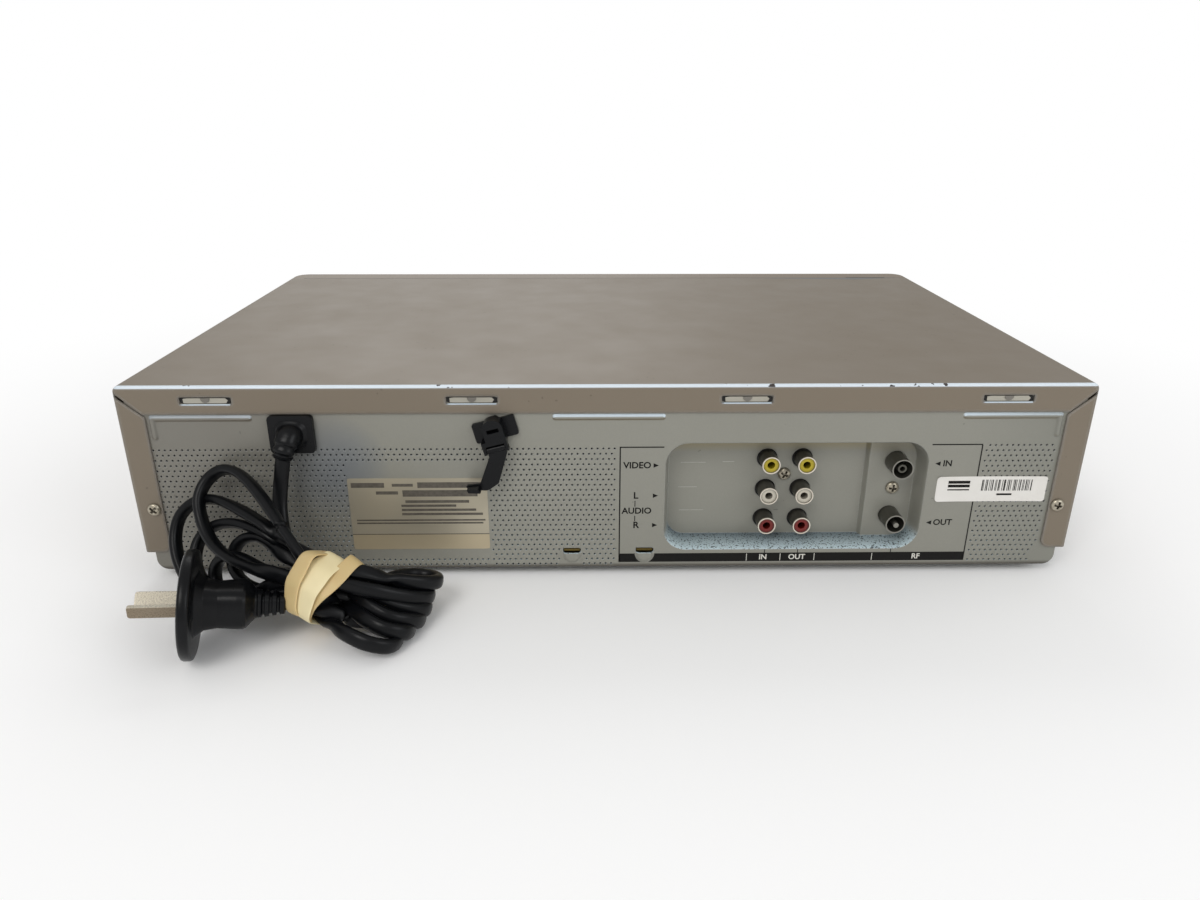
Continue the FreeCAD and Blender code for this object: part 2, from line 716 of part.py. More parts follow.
def front_panel():
    """Moulded fascia with rounded ends, open behind, with bosses and hinge ears inside."""
    piece = body("front_panel")
    plan = sketch_on(piece, "XY", "foot_height")
    outline(plan, [(f"-{HALF}", COVER_FRONT), (HALF, COVER_FRONT), (HALF, FRONT, "fascia_corner"),
                   (f"-{HALF}", FRONT, "fascia_corner")])
    pad(piece, plan, "body_height", 1)
    edge = piece.Tip
    round_front(piece, edge)
    hollow = sketch_on(piece, "XY", "foot_height + fascia_wall")
    inner = f"({HALF} - fascia_wall)"
    bend = "(fascia_corner - fascia_wall)"
    outline(hollow, [(f"-{inner}", f"{COVER_FRONT} + 1"), (inner, f"{COVER_FRONT} + 1"),
                     (inner, FASCIA_BACK, bend),
                     (f"-{inner}", FASCIA_BACK, bend)])
    pocket(piece, hollow, "body_height - 2 * fascia_wall", 1)
    openings = sketch_on(piece, "XZ", FRONT)
    rectangle(openings, "-door_half", "door_half", "door_low", "door_high", "2")
    rectangle(openings, "-window_half", "window_half", "window_low", "window_high", "2")
    rectangle(openings, "flap_left", "flap_right", "flap_low", "flap_high")
    pocket(piece, openings, "fascia_wall + 0.1", 1)
    for _, x, z, width, height in BUTTONS:
        hole = sketch_on(piece, "XZ", FRONT)
        rectangle(hole, f"{x} - {width} / 2 - fit_gap", f"{x} + {width} / 2 + fit_gap",
                  f"{z} - {height} / 2 - fit_gap", f"{z} + {height} / 2 + fit_gap",
                  "button_corner + fit_gap")
        pocket(piece, hole, "fascia_wall + 0.1", 1)
    ears = sketch_on(piece, "YZ", "-door_half - 4")
    ear(ears)
    pad(piece, ears, "3", 1)
    ears = sketch_on(piece, "YZ", "door_half + 4")
    ear(ears)
    pad(piece, ears, "3", -1)
    pins = sketch_on(piece, "YZ", "door_half + 4.5")
    circle(pins, DOOR_AXIS_Y, DOOR_AXIS_Z, "pin_radius + shaft_gap")
    pocket(piece, pins, "2 * door_half + 9", -1)
    flap_pins = sketch_on(piece, "YZ", "flap_left - 1.5")
    circle(flap_pins, FLAP_AXIS_Y, FLAP_AXIS_Z, "flap_pin + shaft_gap")
    pocket(piece, flap_pins, "flap_right - flap_left + 3", 1)
    bosses = sketch_on(piece, "XZ", FASCIA_BACK)
    for x, z in BOSSES:
        circle(bosses, x, z, "2.5")
    pad(piece, bosses, "front_board_deep - fascia_wall", 1)
    return piece


def round_front(piece, base):
    """Fillet the fascia's front top and bottom edges, with the arcs at its two ends."""
    names = []
    for number, edge in enumerate(base.Shape.Edges, start=1):
        flat = edge.BoundBox.ZLength < 1e-6
        if flat and edge.BoundBox.YMin < size(FRONT) + 1e-3:
            names.append(f"Edge{number}")
    feature = piece.newObject("PartDesign::Fillet", "front_panel_fillet")
    feature.Base = (base, names)
    feature.Radius = size("fascia_edge")
    feature.setExpression("Radius", bound("fascia_edge"))
    doc.recompute()


def ear(sketch):
    """A lug behind the fascia's wall round the door's pivot."""
    outline(sketch, [
        (FASCIA_BACK, f"{DOOR_AXIS_Z} - 3"), (f"{DOOR_AXIS_Y} + 3", f"{DOOR_AXIS_Z} - 3", "2"),
        (f"{DOOR_AXIS_Y} + 3", f"{DOOR_AXIS_Z} + 3", "2"), (FASCIA_BACK, f"{DOOR_AXIS_Z} + 3"),
    ])


def cassette_door():
    """Flap that closes the cassette slot, with a pivot pin at each end of its top edge."""
    piece = body("cassette_door")
    half = "(door_half - fit_gap)"
    leaf = sketch_on(piece, "XZ", f"{FRONT} + 0.3")
    rectangle(leaf, f"-{half}", half, "door_low + fit_gap", "door_high - fit_gap", "1.5")
    pad(piece, leaf, "door_sheet", 1)
    knuckle = sketch_on(piece, "YZ", f"-{half} + 2")
    outline(knuckle, [
        (f"{FRONT} + 0.3 + door_sheet", f"{DOOR_AXIS_Z} - 1.7"),
        (f"{DOOR_AXIS_Y} + 1.7", f"{DOOR_AXIS_Z} - 1.7", "1.6"),
        (f"{DOOR_AXIS_Y} + 1.7", f"{DOOR_AXIS_Z} + 1.7", "1.6"),
        (f"{FRONT} + 0.3 + door_sheet", f"{DOOR_AXIS_Z} + 1.7"),
    ])
    pad(piece, knuckle, f"2 * {half} - 4", 1)
    pins = sketch_on(piece, "YZ", f"-{half} - 4.5")
    circle(pins, DOOR_AXIS_Y, DOOR_AXIS_Z, "pin_radius")
    pad(piece, pins, f"2 * {half} + 9", 1)
    return piece


def display_window():
    """Clear dark window, held by a flange behind the fascia's wall."""
    piece = body("display_window")
    face = sketch_on(piece, "XZ", FASCIA_BACK)
    rectangle(face, "-window_half + shaft_gap", "window_half - shaft_gap", "window_low + shaft_gap",
              "window_high - shaft_gap", "2")
    pad(piece, face, "window_sheet", -1)
    rim = sketch_on(piece, "XZ", FASCIA_BACK)
    rectangle(rim, "-window_half - 2", "window_half + 2", "window_low - 1.5", "window_high + 1.5", "2")
    pad(piece, rim, "1", 1)
    return piece


# Each front button: its name, its centre across and up, and its width and height.
BUTTONS = [
    ("power_button", "-180", "72", "26", "10"),
    ("eject_button", "128", "76", "26", "8"),
    ("rewind_button", "112", "32", "15", "9"),
    ("play_button", "134", "32", "21", "13"),
    ("forward_button", "156", "32", "15", "9"),
    ("stop_button", "176", "32", "15", "9"),
    ("record_button", "196", "32", "11", "9"),
    ("channel_up_button", "170", "66", "11", "9"),
    ("channel_down_button", "170", "54", "11", "9"),
]

BOSSES = [("-206", "24"), ("-110", "46"), ("106", "46"), ("206", "46"), ("-206", "80"), ("206", "80")]


def button(label, x, z, width, height):
    """Moulded button through the fascia, with a stop flange and a stem to its switch."""
    piece = body(label)
    cap = sketch_on(piece, "XZ", f"{FRONT} - button_proud")
    rectangle(cap, f"{x} - {width} / 2", f"{x} + {width} / 2", f"{z} - {height} / 2",
              f"{z} + {height} / 2",
              "button_corner")
    pad(piece, cap, "button_proud + fascia_wall + fit_gap", 1)
    stop = sketch_on(piece, "XZ", f"{FASCIA_BACK} + fit_gap")
    rectangle(stop, f"{x} - {width} / 2 - button_flange", f"{x} + {width} / 2 + button_flange",
              f"{z} - {height} / 2 - button_flange", f"{z} + {height} / 2 + button_flange",
              "button_corner")
    pad(piece, stop, "1.2", 1)
    stem = sketch_on(piece, "XZ", f"{FASCIA_BACK} + fit_gap + 1.2")
    circle(stem, x, z, "button_stem")
    pad(piece, stem,
        f"front_board_deep - fascia_wall - switch_height - button_travel - 2 * fit_gap - 1.2", 1)
    return piece


def front_board():
    """Key and display board behind the fascia, notched round the cassette slot."""
    piece = body("front_board")
    plate = sketch_on(piece, "XZ", BOARD_FACE)
    side = "(door_half + 6)"
    edge = f"({HALF} - fascia_wall - 2)"
    outline(plate, [
        (f"-{edge}", "12"), (edge, "12"), (edge, "84"), (side, "84"), (side, "door_low - 5"),
        (f"-{side}", "door_low - 5"), (f"-{side}", "84"), (f"-{edge}", "84"),
    ])
    pad(piece, plate, "board_sheet", 1)
    return piece


def front_switches():
    """Tact switches, one behind each button."""
    switches = [
        block(f"switch_{name}", (f"{x} - 3", f"{x} + 3"), (f"{BOARD_FACE} - switch_height", BOARD_FACE),
              (f"{z} - 3", f"{z} + 3"))
        for name, x, z, _, _ in BUTTONS
    ]
    return group("front_switches", switches)


def display_tube():
    """Flat glass display tube on the front board."""
    return block("display_tube", ("-62", "62"), (f"{BOARD_FACE} - 6", BOARD_FACE),
                 ("window_low + 2", "window_high - 2"))


def front_flap():
    """Flap over the front jacks. It turns about two pins low in the fascia's opening."""
    piece = body("front_flap")
    left, right = "(flap_left + fit_gap)", "(flap_right - fit_gap)"
    leaf = sketch_on(piece, "YZ", left)
    outline(leaf, [
        (f"{FRONT} + shaft_gap", f"{FLAP_AXIS_Z} - fascia_wall / 2 + shaft_gap", "fascia_wall / 2 - 0.1"),
        (f"{FASCIA_BACK} - shaft_gap", f"{FLAP_AXIS_Z} - fascia_wall / 2 + shaft_gap",
         "fascia_wall / 2 - 0.1"),
        (f"{FASCIA_BACK} - shaft_gap", "flap_high - fit_gap"),
        (f"{FRONT} + shaft_gap", "flap_high - fit_gap"),
    ])
    pad(piece, leaf, f"{right} - {left}", 1)
    pins = sketch_on(piece, "YZ", "flap_left - 1.2")
    circle(pins, FLAP_AXIS_Y, FLAP_AXIS_Z, "flap_pin")
    pad(piece, pins, "flap_right - flap_left + 2.4", 1)
    return piece


FRONT_JACKS = ("-188", "-168", "-148")


def front_jack_block():
    """Black housing behind the flap with three round sockets, carried by the front board."""
    face = f"({FASCIA_BACK} + 5)"
    base = block("front_jack_case", ("flap_left + 2", "flap_right - 2"), (face, BOARD_FACE),
                 ("flap_low", "flap_high"))
    collars = [rod(f"front_collar_{i}", "y", (x, f"{face} - 4", "27.5"), "jack_radius", "6")
               for i, x in enumerate(FRONT_JACKS)]
    bores = [rod(f"front_bore_{i}", "y", (x, f"{face} - 5", "27.5"), "jack_pin_hole", "9")
             for i, x in enumerate(FRONT_JACKS)]
    return cut("front_jack_block", fuse("front_jack_solid", [base] + collars), bores)


def rear_screws():
    """Four pan head screws: two through the cover's rear edge, two through the jack recess."""
    places = [(f"{side}{COVER_SCREW}", "cover_screw_level", f"({REAR} + cover_sheet)")
              for side in ("-", "")]
    places += [(JACK_MID, "jack_screw_level", RECESS_FLOOR),
               ("aerial_column", "aerial_screw_level", AERIAL_FLOOR)]
    solids = []
    for number, (x, level, seat) in enumerate(places):
        z = f"foot_height + {level}"
        head = rod(f"screw_head_{number}", "y", (x, seat, z), "screw_head", "screw_head_height")
        dome = doc.addObject("Part::Fillet", f"screw_dome_{number}")
        doc.recompute()
        rim = next(i for i, e in enumerate(head.Shape.Edges, start=1)
                   if e.Curve.TypeId == "Part::GeomCircle" and near(e.Curve.Center.y,
                                                                    f"{seat} + screw_head_height"))
        dome.Base = head
        dome.Edges = [(rim, size("screw_dome"), size("screw_dome"))]
        shank = rod(f"screw_shank_{number}", "y", (x, f"{seat} - screw_length", z), "screw_shank",
                    "screw_length")
        solids.append(fuse(f"screw_{number}", [dome, shank]))
    return group("rear_screws", solids)


JACK_PLACES = [(column, f"(foot_height + {row})")
               for row in ("jack_row_video", "jack_row_left", "jack_row_right")
               for column in ("jack_column_in", "jack_column_out")]


def jack_block():
    """Black moulding behind the recess that carries the six phono jacks."""
    piece = body("jack_block")
    back = sketch_on(piece, "XZ", JACK_BACK)
    rectangle(back, "jack_column_out - jack_block_margin", "jack_column_in + jack_block_margin",
              BOARD_TOP,
              "foot_height + jack_row_video + jack_block_margin")
    pad(piece, back, "jack_block_deep", -1)
    holes = sketch_on(piece, "XZ", JACK_BACK)
    for x, z in JACK_PLACES:
        circle(holes, x, z, "jack_pin_hole")
    circle(holes, JACK_MID, "foot_height + jack_screw_level", "screw_shank + shaft_gap")
    pocket(piece, holes, "screw_length + 1", -1)
    return piece


def jack_shells():
    """Six plain metal shells of the phono jacks."""
    piece = body("jack_shells")
    rings = sketch_on(piece, "XZ", JACK_BACK)
    for x, z in JACK_PLACES:
        circle(rings, x, z, "jack_radius")
        circle(rings, x, z, "jack_radius - jack_wall")
    pad(piece, rings, "jack_length", 1)
    return piece


def jack_inserts(label, row):
    """The two coloured inserts of one row of jacks."""
    piece = body(label)
    rings = sketch_on(piece, "XZ", JACK_BACK)
    for column in ("jack_column_in", "jack_column_out"):
        circle(rings, column, f"foot_height + {row}", "jack_radius - jack_wall - shaft_gap")
        circle(rings, column, f"foot_height + {row}", "jack_pin_hole")
    pad(piece, rings, "jack_length - 0.6", 1)
    return piece


def aerial_can():
    """Screened tuner box behind the aerial connectors."""
    base = block("aerial_can_case", ("aerial_can_right", "aerial_can_left"),
                 (f"{AERIAL_BACK} - aerial_can_deep", AERIAL_BACK),
                 (BOARD_TOP, "foot_height + recess_high - 1"))
    hole = rod("aerial_can_hole", "y",
               ("aerial_column", f"{AERIAL_BACK} - screw_length - 1", "foot_height + aerial_screw_level"),
               "screw_shank + shaft_gap", "screw_length + 2")
    return cut("aerial_can", base, [hole])


def aerial_socket():
    """Aerial input: a metal shell round a socket contact, on the tuner box."""
    piece = body("aerial_in_socket")
    rings = sketch_on(piece, "XZ", AERIAL_BACK)
    circle(rings, "aerial_column", "foot_height + aerial_row_in", "aerial_in_radius")
    circle(rings, "aerial_column", "foot_height + aerial_row_in", "aerial_in_radius - aerial_wall")
    pad(piece, rings, "aerial_length", 1)
    contact = sketch_on(piece, "XZ", AERIAL_BACK)
    circle(contact, "aerial_column", "foot_height + aerial_row_in", "2")
    circle(contact, "aerial_column", "foot_height + aerial_row_in", "1.2")
    pad(piece, contact, "aerial_length - 1", 1)
    web = sketch_on(piece, "XZ", AERIAL_BACK)
    circle(web, "aerial_column", "foot_height + aerial_row_in", "aerial_in_radius - 0.1")
    pad(piece, web, "1", 1)
    return piece


def aerial_plug():
    """Aerial output: a metal shell round a pin, on the tuner box."""
    piece = body("aerial_out_plug")
    rings = sketch_on(piece, "XZ", AERIAL_BACK)
    circle(rings, "aerial_column", "foot_height + aerial_row_out", "aerial_out_radius")
    circle(rings, "aerial_column", "foot_height + aerial_row_out", "aerial_out_radius - aerial_wall")
    pad(piece, rings, "aerial_length", 1)
    pin = sketch_on(piece, "XZ", AERIAL_BACK)
    circle(pin, "aerial_column", "foot_height + aerial_row_out", "1.2")
    pad(piece, pin, "aerial_length + 1", 1)
    web = sketch_on(piece, "XZ", AERIAL_BACK)
    circle(web, "aerial_column", "foot_height + aerial_row_out", "aerial_out_radius - 0.1")
    pad(piece, web, "1", 1)
    return piece


def clip_base():
    """Cord clip: a plate that swivels on a stud in the rear panel, with a head block and two ears."""
    piece = body("cord_clip_base")
    plate = sketch_on(piece, "XZ")
    rectangle(plate, "-clip_width / 2", "clip_width / 2", "-clip_height / 2", "clip_height / 2", "1")
    pad(piece, plate, "1.6", 1)
    head = sketch_on(piece, "XZ", "1.6")
    outline(head, [("-4.4", "-5", "0.5"), ("4.6", "-5", "0.5"),
                   ("4.6", "6.4", "4"), ("-4.4", "6.4", "4")])
    pad(piece, head, "clip_block - 1.6", 1)
    ears = sketch_on(piece, "XZ", "clip_hinge_out - 1.7")
    for side in ("-1", "1"):
        inner = f"clip_hinge_x + {side} * (strap_half + fit_gap)"
        rectangle(ears, *sorted((inner, f"{inner} + {side} * 1.2"), key=size), "clip_hinge_low - 1.6",
                  "-4.6")
    pad(piece, ears, "3.4", 1)
    shoulder = sketch_on(piece, "XZ", "1.6")
    rectangle(shoulder, "-4.4", "clip_hinge_x + strap_half + fit_gap + 1.2", "-5", "-3")
    pad(piece, shoulder, "clip_block - 1.6", 1)
    latch = sketch_on(piece, "XZ", "clip_block")
    rectangle(latch, "-2.6", "2.8", "0.6", "2.4", "0.4")
    pocket(piece, latch, "4", -1)
    hinge = sketch_on(piece, "YZ", "-12")
    circle(hinge, "clip_hinge_out", "clip_hinge_low", "0.8 + shaft_gap")
    pocket(piece, hinge, "24", 1)
    stud = sketch_on(piece, "XZ")
    circle(stud, "0", "0", "clip_stud")
    pad(piece, stud, "panel_sheet + 2", -1)
    move(piece, "clip_x", REAR, "foot_height + clip_level", Rotation(Vector(0, 1, 0), SIZES["clip_tilt"]))
    return piece


def clip_strap():
    """The clip's strap, hinged between the ears, with a hooked toe."""
    piece = body("cord_clip_strap")
    strip = sketch_on(piece, "XZ", "clip_hinge_out - strap_thick / 2")
    outline(strip, [
        ("clip_hinge_x - strap_half", "clip_hinge_low - 3"),
        ("clip_hinge_x - strap_half", "clip_hinge_low"),
        ("clip_hinge_x + strap_half", "clip_hinge_low"),
        ("clip_hinge_x + strap_half", "clip_hinge_low - 3"),
        ("13", "-21.5", "1"), ("19.6", "-20.6", "0.6"), ("18.9", "-22.8", "0.6"), ("10.5", "-25.4", "4"),
        ("4.8", "-23.2", "1.5"),
    ])
    pad(piece, strip, "strap_thick", 1)
    toe = sketch_on(piece, "XZ", "clip_hinge_out + strap_thick / 2")
    outline(toe, [("13.6", "-21.9"), ("18.6", "-21.2"), ("18.2", "-22.7"), ("13.2", "-24.2")])
    pad(piece, toe, "clip_proud - clip_hinge_out - strap_thick / 2", 1)
    knuckle = sketch_on(piece, "YZ", "clip_hinge_x - strap_half")
    circle(knuckle, "clip_hinge_out", "clip_hinge_low", "1.5")
    pad(piece, knuckle, "2 * strap_half", 1)
    pin = sketch_on(piece, "YZ", "clip_hinge_x - strap_half - fit_gap - 1")
    circle(pin, "clip_hinge_out", "clip_hinge_low", "0.8")
    pad(piece, pin, "2 * (strap_half + fit_gap + 1)", 1)
    move(piece, "clip_x", REAR, "foot_height + clip_level", Rotation(Vector(0, 1, 0), SIZES["clip_tilt"]))
    return piece


def cord_gland():
    """Moulded rubber elbow in the rear panel, which turns the mains cord down."""
    piece = body("cord_gland")
    level = "(foot_height + gland_level)"
    plate = sketch_on(piece, "XZ", REAR)
    rectangle(plate, "gland_x - gland_width / 2", "gland_x + gland_width / 2",
              f"{level} - gland_height / 2",
              f"{level} + gland_height / 2", "1.5")
    pad(piece, plate, "gland_plate", 1)
    boss = sketch_on(piece, "XZ", f"{REAR} + gland_plate")
    circle(boss, "gland_x + gland_lean / 2", f"{level} + 0.5", "7")
    pad(piece, boss, "gland_out - gland_plate + 2.5", 1)
    neck = sketch_on(piece, "XZ", REAR)
    circle(neck, "gland_x", level, "gland_neck")
    pad(piece, neck, "panel_sheet + 3", -1)
    low = f"({level} - 5)"
    revolve(piece, [
        ("0", low), ("4.9", low, "0.4"), ("5.3", f"{low} + 1.4", "0.4"), ("4.7", f"{low} + 2", "0.3"),
        ("5.7", f"{low} + 3.4", "0.4"), ("5.1", f"{low} + 4", "0.3"), ("6.6", f"{low} + 6", "0.6"),
        ("6.8", f"{low} + 10", "2"), ("0", f"{low} + 11.5"),
    ], f"{REAR} + gland_out", "gland_x + gland_lean")
    return piece


# The cord from the gland to the tied bundle, each point chosen by hand: across, back, up.
CORD_ROUTE = [
    (141.6, 135.0, 67.1),
    (144.4, 135.4, 53.9),
    (145.6, 139.5, 41.1),
    (142.4, 146.6, 30.7),
    (135.9, 155.1, 24.2),
    (127.1, 164.5, 22.5),
]


def rounded_path(points):
    """Straight runs joined by tangent arcs as wide as the runs allow."""
    edges, start = [], points[0]
    for i in range(1, len(points) - 1):
        back, ahead = points[i - 1] - points[i], points[i + 1] - points[i]
        half = (math.pi - back.getAngle(ahead)) / 2
        reach = SIZES["cord_bend"] * min(back.Length, ahead.Length)
        radius = reach / math.tan(half)
        print(f"cord bend {i}: radius {radius:.1f} mm")
        back, ahead = back.normalize(), ahead.normalize()
        first, last = points[i] + back * reach, points[i] + ahead * reach
        middle = (back + ahead).normalize()
        crown = points[i] + middle * (radius / math.cos(half) - radius)
        edges.append(Part.LineSegment(start, first).toShape())
        edges.append(Part.Arc(first, crown, last).toShape())
        start = last
    edges.append(Part.LineSegment(start, points[-1]).toShape())
    return Part.Wire(edges)


def mains_cord():
    """The flat mains cord between the gland and the tied bundle, as one oval tube."""
    path = rounded_path([Vector(*spot) for spot in CORD_ROUTE])
    start, first = Vector(*CORD_ROUTE[0]), Vector(*CORD_ROUTE[1])
    ring = Part.Ellipse(Vector(), size("cord_radius"), size("cord_thin")).toShape()
    ring.Placement = Placement(start, Rotation(Vector(1, 0, 0), Vector(), first - start, "ZXY"))
    tube = path.makePipeShell([Part.Wire(ring)], True, False)
    expected = math.pi * size("cord_radius") * size("cord_thin") * path.Length
    print(f"cord tube: length {path.Length:.1f} mm, volume off by {abs(tube.Volume / expected - 1):.2%}")
    if abs(tube.Volume / expected - 1) > 0.01:
        raise ValueError("the cord's tube hasn't the volume of its length")
    piece = doc.addObject("Part::Feature", "mains_cord")
    piece.Shape = tube
    return piece


# Sections of the tied bundle: centre across, back and up, half width, half height and lean in degrees.
BUNDLE = [
    (189, 146, 30, 4, 8, 20),
    (180, 145, 34, 8, 19, 25),
    (162, 149, 32, 10, 24, 27),
    (146, 158, 28, 10, 19, 25),
    (130, 166, 23, 11, 12.5, 0),
    (114, 177, 19, 14, 12.5, 0),
    (98, 179, 13.5, 22, 11, 0),
    (84, 171, 8.7, 23, 8.5, 0),
    (76, 157, 9.5, 9, 7, 0),
]


def cord_coil():
    """Outer shape of the tied bundle of cord: loops that lean on the panel, a waist, and a flat lobe."""
    piece = doc.addObject("Part::Feature", "cord_coil")
    rings = []
    for x, y, z, wide, high, lean in BUNDLE:
        turned = Rotation(Vector(0, 1, 0), Vector(0, 0, 1), Vector(1, 0, 0), "ZXY")
        upright = Rotation(Vector(1, 0, 0), lean) * turned
        if high > wide:
            upright = upright * Rotation(Vector(0, 0, 1), 90)
        ring = Part.Ellipse(Vector(), max(wide, high), min(wide, high)).toShape()
        ring.Placement = Placement(Vector(x, y, z), upright)
        rings.append(Part.Wire(ring))
    piece.Shape = Part.makeLoft(rings, True, True)
    return piece


BAND_CENTRE = Vector(118.4, 172.6, 22)
BAND_WAY = Vector(-0.8, 0.46, -0.23)
PLUG_END = Vector(133.4, 178.3, 17.7)
PLUG_WAY = Vector(0.96, 0.245, 0.135).normalize()


def rubber_band():
    """Flat rubber band wound round the waist of the bundle."""
    turn = Rotation(Vector(0, 0, 1), BAND_WAY)
    outer = doc.addObject("Part::Cylinder", "band_outer")
    inner = doc.addObject("Part::Cylinder", "band_inner")
    for bar, radius, height, start in ((outer, "14.6", "15", -7.5), (inner, "13.2", "20", -10)):
        bar.setExpression("Radius", bound(radius))
        bar.setExpression("Height", bound(height))
        bar.Placement = Placement(BAND_CENTRE + turn.multVec(Vector(0, 0, start)), turn)
    return cut("rubber_band", outer, [inner])


def plug_turn():
    """The plug's turn: its own axis along the way its blades point, with the blades one above the other."""
    return Rotation(Vector(0.267, -0.945, -0.187), Vector(), PLUG_WAY, "ZXY")


def mains_plug():
    """Moulded two pin plug with a round guard flange and a ribbed strain relief."""
    relief, end = "relief_length", "(relief_length + plug_length)"
    profile = [("0", "0"), ("cord_radius + 1.1", "0", "0.5")]
    for ring in range(3):
        low = f"{relief} * ({ring} + 1) / 4"
        profile += [(f"cord_radius + 1.4 + {ring} * 0.4", f"{low} - 0.8"),
                    (f"cord_radius + 0.8 + {ring} * 0.4", low)]
    profile += [
        ("6.4", relief, "1"), ("plug_body - 1.5", f"{relief} + 3", "2"), ("plug_body", f"{end} - 6", "3"),
        ("plug_body + 1.5", end, "1"), ("plug_disc", end, "0.8"),
        ("plug_disc", f"{end} + plug_rim", "1.4"),
        ("0", f"{end} + plug_rim"),
    ]
    piece = body("mains_plug")
    revolve(piece, profile)
    slots = sketch_on(piece, "XY", f"{end} + plug_rim")
    for side in ("-1", "1"):
        outline(slots, blade_corners(side, 0))
    pocket(piece, slots, "6", -1)
    piece.Placement = Placement(PLUG_END, plug_turn())
    doc.recompute()
    return piece


def blade_corners(side, shrink):
    """Corners of a slanted flat blade on the plug's face."""
    lean = math.radians(30)
    centre = Vector(6.86 * float(side), 0, 0)
    along = Vector(-math.sin(lean) * float(side), math.cos(lean), 0)
    wide = Vector(along.y, -along.x, 0)
    spots = [centre + along * (a * (3.17 - shrink)) + wide * (b * (0.82 - shrink))
             for a, b in ((-1, -1), (-1, 1), (1, 1), (1, -1))]
    return [(f"{p.x:.4f}", f"{p.y:.4f}") for p in spots]


def plug_blades():
    """Two flat brass blades, slanted as this pattern of plug has them."""
    piece = body("plug_blades")
    end = "(relief_length + plug_length + plug_rim)"
    blades = sketch_on(piece, "XY", f"{end} - 5")
    for side in ("-1", "1"):
        outline(blades, blade_corners(side, 0.02))
    pad(piece, blades, "blade_length + 5", 1)
    piece.Placement = Placement(PLUG_END, plug_turn())
    doc.recompute()
    return piece


def main_board():
    """Printed board flat in the chassis, drilled round the deck's posts."""
    piece = body("main_board")
    plate = sketch_on(piece, "XY", BOARD_LOW)
    rectangle(plate, "-200", "200", "-96", "108")
    for x in ("-post_place_x", "post_place_x"):
        for y in ("post_front", "post_rear"):
            circle(plate, x, y, "post_radius + 0.5")
    pad(piece, plate, "board_sheet", 1)
    return piece


def board_parts():
    """Chips, coils and capacitors on the main board."""
    chips = [(-150, -60, 24, 24, 3), (-150, -20, 18, 18, 2.5), (-170, 30, 30, 14, 3),
             (-130, 20, 12, 22, 2.5),
             (130, -60, 30, 12, 3), (165, -50, 14, 14, 10), (-50, 103, 24, 8, 6), (20, 102, 30, 10, 3),
             (0, -60, 22, 22, 3), (-50, -60, 14, 14, 6), (60, -60, 12, 20, 4)]
    solids = []
    for number, (x, y, wide, deep, high) in enumerate(chips):
        solids.append(block(f"chip_{number}", (f"{x - wide / 2}", f"{x + wide / 2}"),
                            (f"{y - deep / 2}", f"{y + deep / 2}"), (BOARD_TOP, f"{BOARD_TOP} + {high}")))
    cans = [(176, 40, 9, 32), (152, 38, 6.5, 22), (190, 20, 5, 16), (160, 16, 5, 16), (140, 96, 6, 18)]
    for number, (x, y, radius, high) in enumerate(cans):
        solids.append(rod(f"capacitor_{number}", "z", (f"{x}", f"{y}", BOARD_TOP), f"{radius}",
                          f"{high}"))
    return group("board_parts", solids)


def power_transformer():
    """Switching transformer of the power supply: bobbin between two core halves."""
    core = block("transformer_core", ("150", "186"), ("66", "78"), (BOARD_TOP, f"{BOARD_TOP} + 32"))
    bobbin = rod("transformer_bobbin", "z", ("168", "72", BOARD_TOP), "15", "27")
    return fuse("power_transformer", [core, bobbin])


def power_heat_sink():
    """Finned aluminium heat sink of the power supply."""
    piece = body("power_heat_sink")
    comb = sketch_on(piece, "XY", BOARD_TOP)
    corners = [("118", "30"), ("120.5", "30")]
    for fin in range(6):
        low = 32 + fin * 8
        corners += [("120.5", f"{low}"), ("130", f"{low}"), ("130", f"{low} + 1.6"),
                    ("120.5", f"{low} + 1.6")]
    corners += [("120.5", "76"), ("118", "76")]
    outline(comb, corners)
    pad(piece, comb, "38", 1)
    return piece


def arm_point(side, angle):
    """A point on a loading arm's circle at an angle in degrees from straight ahead."""
    turn = math.radians(angle)
    return side * (size("arm_pivot_x") + size("arm_length") * math.sin(turn)), \
        size("arm_pivot_y") - size("arm_length") * math.cos(turn)


ARM_REST = 17.3
ARM_SWING = 130.4


def deck_plate():
    """Steel mechanism deck with studs, a capstan bearing and two curved guide slots."""
    piece = body("deck_plate")
    plate = sketch_on(piece, "XY", "deck_level")
    rectangle(plate, "-deck_half", "deck_half", "deck_front", "deck_rear", "3")
    circle(plate, "capstan_x", "capstan_y", "capstan_radius + shaft_gap")
    pad(piece, plate, "deck_sheet", 1)
    slots = sketch_on(piece, "XY", DECK_TOP)
    for side in (-1, 1):
        curved_slot(slots, side)
    pocket(piece, slots, "deck_sheet + 0.1", -1)
    studs = sketch_on(piece, "XY", DECK_TOP)
    for side in ("-", ""):
        circle(studs, f"{side}reel_place_x", REEL_Y, "stud_radius")
    circle(studs, "pinch_pivot_x", "pinch_pivot_y", "stud_radius")
    pad(piece, studs, "12", 1)
    bearing = sketch_on(piece, "XY", DECK_TOP)
    circle(bearing, "capstan_x", "capstan_y", "5")
    circle(bearing, "capstan_x", "capstan_y", "capstan_radius + shaft_gap")
    pad(piece, bearing, "4", 1)
    hangers = sketch_on(piece, "XY", "deck_level")
    for side in ("-", ""):
        circle(hangers, f"{side}arm_pivot_x", "arm_pivot_y", "stud_radius")
    circle(hangers, "cam_x", "cam_y", "stud_radius")
    pad(piece, hangers, "4", -1)
    return piece


